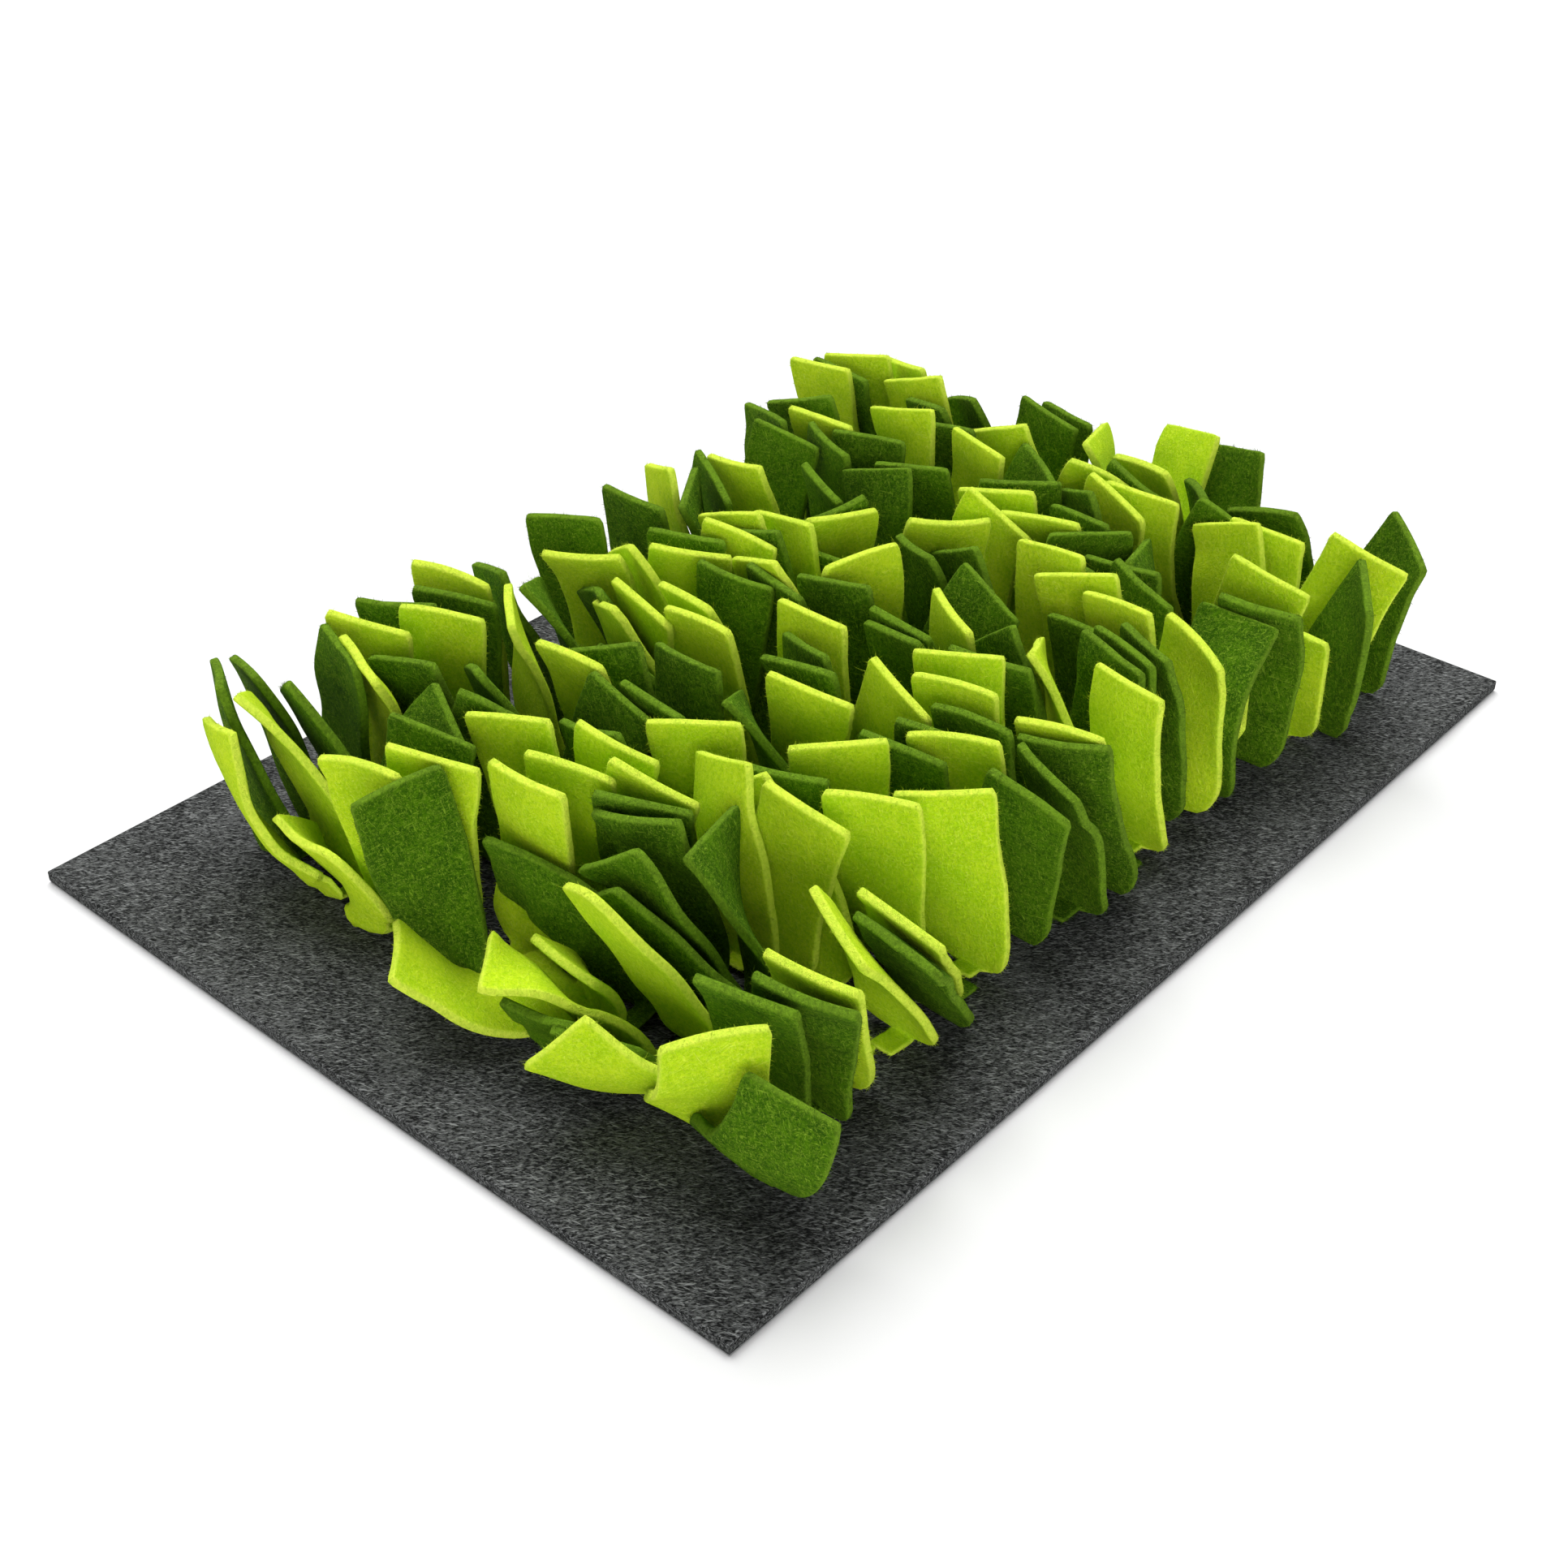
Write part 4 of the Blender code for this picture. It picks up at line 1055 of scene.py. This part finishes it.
class Nodes:
    """Short calls that add and join the nodes of one material."""

    def __init__(self, name):
        self.material = bpy.data.materials.new(name)
        self.material.use_nodes = True
        self.tree = self.material.node_tree
        self.shader = self.tree.nodes["Principled BSDF"]
        self.place = self.add("ShaderNodeTexCoord").outputs["Object"]

    def add(self, kind, **settings):
        node = self.tree.nodes.new(kind)
        for key, value in settings.items():
            setattr(node, key, value)
        return node

    def join(self, source, target):
        self.tree.links.new(source, target)

    def noise(self, scale, detail=3, roughness=0.6, stretch=(1, 1, 1), turn=(0, 0, 0), warp=0):
        """Fine noise of scale cycles a metre, drawn out along an axis, turned and warped."""
        mapping = self.add("ShaderNodeMapping", vector_type="TEXTURE")
        mapping.inputs["Scale"].default_value = stretch
        mapping.inputs["Rotation"].default_value = [math.radians(angle) for angle in turn]
        self.join(self.place, mapping.inputs["Vector"])
        noise = self.add("ShaderNodeTexNoise")
        noise.inputs["Scale"].default_value = scale
        noise.inputs["Detail"].default_value = detail
        noise.inputs["Roughness"].default_value = roughness
        noise.inputs["Distortion"].default_value = warp
        self.join(mapping.outputs["Vector"], noise.inputs["Vector"])
        return noise.outputs["Fac"]

    def maths(self, operation, *values):
        node = self.add("ShaderNodeMath", operation=operation)
        for socket, value in zip(node.inputs, values):
            if isinstance(value, (int, float)):
                socket.default_value = value
            else:
                self.join(value, socket)
        return node.outputs[0]

    def spread(self, value, low, high, to_low=0.0, to_high=1.0):
        """A value from low to high, taken to the range to_low to to_high and held inside it."""
        node = self.add("ShaderNodeMapRange", interpolation_type="SMOOTHSTEP")
        set_range(node, low, high, to_low, to_high)
        self.join(value, node.inputs["Value"])
        return node.outputs["Result"]

    def blend(self, amount, one, other):
        node = self.add("ShaderNodeMix", data_type="RGBA")
        sockets = [s for s in node.inputs if s.type == "RGBA"]
        for socket, value in zip(sockets, (one, other)):
            if isinstance(value, tuple):
                socket.default_value = (*value, 1)
            else:
                self.join(value, socket)
        self.join(amount, node.inputs["Factor"])
        return [s for s in node.outputs if s.type == "RGBA"][0]

    def bump(self, height, strength, distance):
        node = self.add("ShaderNodeBump")
        node.inputs["Strength"].default_value = strength
        node.inputs["Distance"].default_value = distance
        self.join(height, node.inputs["Height"])
        self.join(node.outputs["Normal"], self.shader.inputs["Normal"])

    def finish(self, roughness, sheen, sheen_tint):
        self.shader.inputs["Roughness"].default_value = roughness
        self.shader.inputs["Specular IOR Level"].default_value = 0.05
        self.shader.inputs["Sheen Weight"].default_value = sheen
        self.shader.inputs["Sheen Roughness"].default_value = 0.45
        self.shader.inputs["Sheen Tint"].default_value = (*sheen_tint, 1)
        return self.material


def highest(nodes, layers):
    """The highest of several values at each place."""
    top = layers[0]
    for layer in layers[1:]:
        top = nodes.maths("MAXIMUM", top, layer)
    return top


def fibre_pattern(nodes, scale):
    """Short crossing fibres: drawn-out noises in three directions, the highest at each place."""
    turns = ((0, 20, 35), (0, -60, 80), (0, -25, -40), (0, 65, 10), (0, 5, 95))
    layers = [nodes.noise(scale, 2, 0.6, (7, 1, 1), turn, 0.9) for turn in turns]
    return highest(nodes, layers)


def flat_fibres(nodes, scale):
    """Fibres that lie in a level sheet, most of them near one direction."""
    layers = [nodes.noise(scale, 2, 0.6, (5, 1, 1), (0, 0, turn), 0.3) for turn in (-30, -50, -75)]
    return highest(nodes, layers)


def strip_felt(name, colours, fleck, painted_edge_highlight):
    """Dyed felt: fine mottling, pale crossing fibres, each strip's own tone, and a painted
    highlight that makes cut edges and fuzz paler where light would catch them.
    """
    deep, plain, pale = colours
    nodes = Nodes(name)
    mottle = nodes.noise(800, 4, 0.75)
    cloud = nodes.noise(70, 3, 0.6)
    tone = nodes.add("ShaderNodeAttribute", attribute_name="tone").outputs["Fac"]
    edge = nodes.add("ShaderNodeAttribute", attribute_name="edge").outputs["Fac"]
    level = nodes.maths("MULTIPLY_ADD", tone, 0.05, mottle)
    level = nodes.maths("MULTIPLY_ADD", cloud, 0.5, level)
    colour = nodes.blend(nodes.spread(level, 0.58, 0.92), deep, plain)
    strands = fibre_pattern(nodes, 1700)
    flecks = nodes.spread(strands, 0.56, 0.76, 0, fleck)
    # Painted highlight: the edge numbers paint cut edges and fibres paler, standing in for light
    # caught by their fuzz. The paler of the real pale fibres and this painted highlight wins.
    painted_highlight_mottle = nodes.spread(mottle, 0.3, 0.7, 0.6 * painted_edge_highlight, painted_edge_highlight)
    rim = nodes.maths("MULTIPLY", edge, painted_highlight_mottle)
    colour = nodes.blend(nodes.maths("MAXIMUM", flecks, rim), colour, pale)
    nodes.join(colour, nodes.shader.inputs["Base Color"])
    height = nodes.maths("MULTIPLY_ADD", strands, 1.5, mottle)
    nodes.bump(height, 1.0, 0.0007)
    return nodes.finish(0.95, 0.06, pale)


def base_felt(name):
    """Charcoal wool felt: fine dark and pale grains, pale lying fibres and slight patches."""
    deep, plain, pale = BASE_COLOURS
    nodes = Nodes(name)
    patch = nodes.noise(60, 3, 0.6)
    grain = nodes.noise(1500, 3, 0.7, (2.2, 1, 1), (0, 0, -50))
    level = nodes.maths("MULTIPLY_ADD", patch, 0.2, grain)
    colour = nodes.blend(nodes.spread(level, 0.50, 0.74), deep, plain)
    strands = flat_fibres(nodes, 1700)
    colour = nodes.blend(nodes.spread(strands, 0.57, 0.74, 0, 0.8), colour, pale)
    nodes.join(colour, nodes.shader.inputs["Base Color"])
    height = nodes.maths("MULTIPLY_ADD", strands, 1.2, grain)
    nodes.bump(height, 1.0, 0.0006)
    return nodes.finish(0.95, 0.05, BASE_SHEEN)


def make_floor():
    mesh = bpy.data.meshes.new("floor")
    reach = FLOOR_REACH
    corners = [(-reach, -reach, 0), (reach, -reach, 0), (reach, reach, 0), (-reach, reach, 0)]
    mesh.from_pydata(corners, [], [(0, 1, 2, 3)])
    material = bpy.data.materials.new("floor_white")
    material.use_nodes = True
    shader = material.node_tree.nodes["Principled BSDF"]
    shader.inputs["Base Color"].default_value = FLOOR_COLOUR
    shader.inputs["Roughness"].default_value = 0.9
    mesh.materials.append(material)
    shown("floor", mesh)


def make_light(name, place, strength, spread):
    """A soft, even light from the direction of a place, spread over an angle in degrees."""
    data = bpy.data.lights.new(name, "SUN")
    data.energy = strength
    data.angle = math.radians(spread)
    light = shown(name, data)
    light.location = place
    light.rotation_euler = (-Vector(place)).to_track_quat("-Z", "Y").to_euler()


def make_camera():
    yaw, pitch = math.radians(CAMERA_YAW), math.radians(CAMERA_PITCH)
    level = math.cos(pitch)
    ahead = Vector((math.sin(yaw) * level, math.cos(yaw) * level, -math.sin(pitch)))
    right = Vector((math.cos(yaw), -math.sin(yaw), 0))
    up = right.cross(ahead)
    data = bpy.data.cameras.new("camera")
    data.sensor_width = SENSOR
    data.lens = CAMERA_LENS
    camera = shown("camera", data)
    rows = [(right[i], up[i], -ahead[i], CAMERA_PLACE[i]) for i in range(3)]
    camera.matrix_world = Matrix((*rows, (0, 0, 0, 1)))
    bpy.context.scene.camera = camera


def make_world():
    """A studio that is white round the horizon and dimmer overhead."""
    world = bpy.data.worlds.new("studio")
    world.use_nodes = True
    tree = world.node_tree
    shade = tree.nodes["Background"]
    shade.inputs["Color"].default_value = (1, 1, 1, 1)
    parts = tree.nodes.new("ShaderNodeSeparateXYZ")
    level = tree.nodes.new("ShaderNodeMapRange")
    set_range(level, *HORIZON, *WORLD_LIGHT)
    place = tree.nodes.new("ShaderNodeTexCoord").outputs["Generated"]
    tree.links.new(place, parts.inputs["Vector"])
    tree.links.new(parts.outputs["Z"], level.inputs["Value"])
    tree.links.new(level.outputs["Result"], shade.inputs["Strength"])
    bpy.context.scene.world = world


strips = listed_strips()
strips += filler_strips(strips)
give_root_slots(strips)
settle(strips)
placed = clear_strips(strips)

random = np.random.default_rng(LOOK_SEED)
lime = strip_felt("lime_felt", LIME_COLOURS, fleck=0.45, painted_edge_highlight=0.6)
dark = strip_felt("dark_felt", DARK_COLOURS, fleck=0.65, painted_edge_highlight=0.4)
for seam in range(SEAM_COUNT):
    for felt, finish in ((L, lime), (D, dark)):
        make_strips(placed, seam, felt, finish, random)
base = make_base(base_felt("base_wool"))

make_floor()
make_world()
make_light("key", (0.5, 0.6, 1.5), strength=4.4, spread=56)
make_light("front", (-0.8, -0.9, 0.2), strength=2.2, spread=44)
bpy.context.scene.view_settings.view_transform = "Standard"
make_camera()
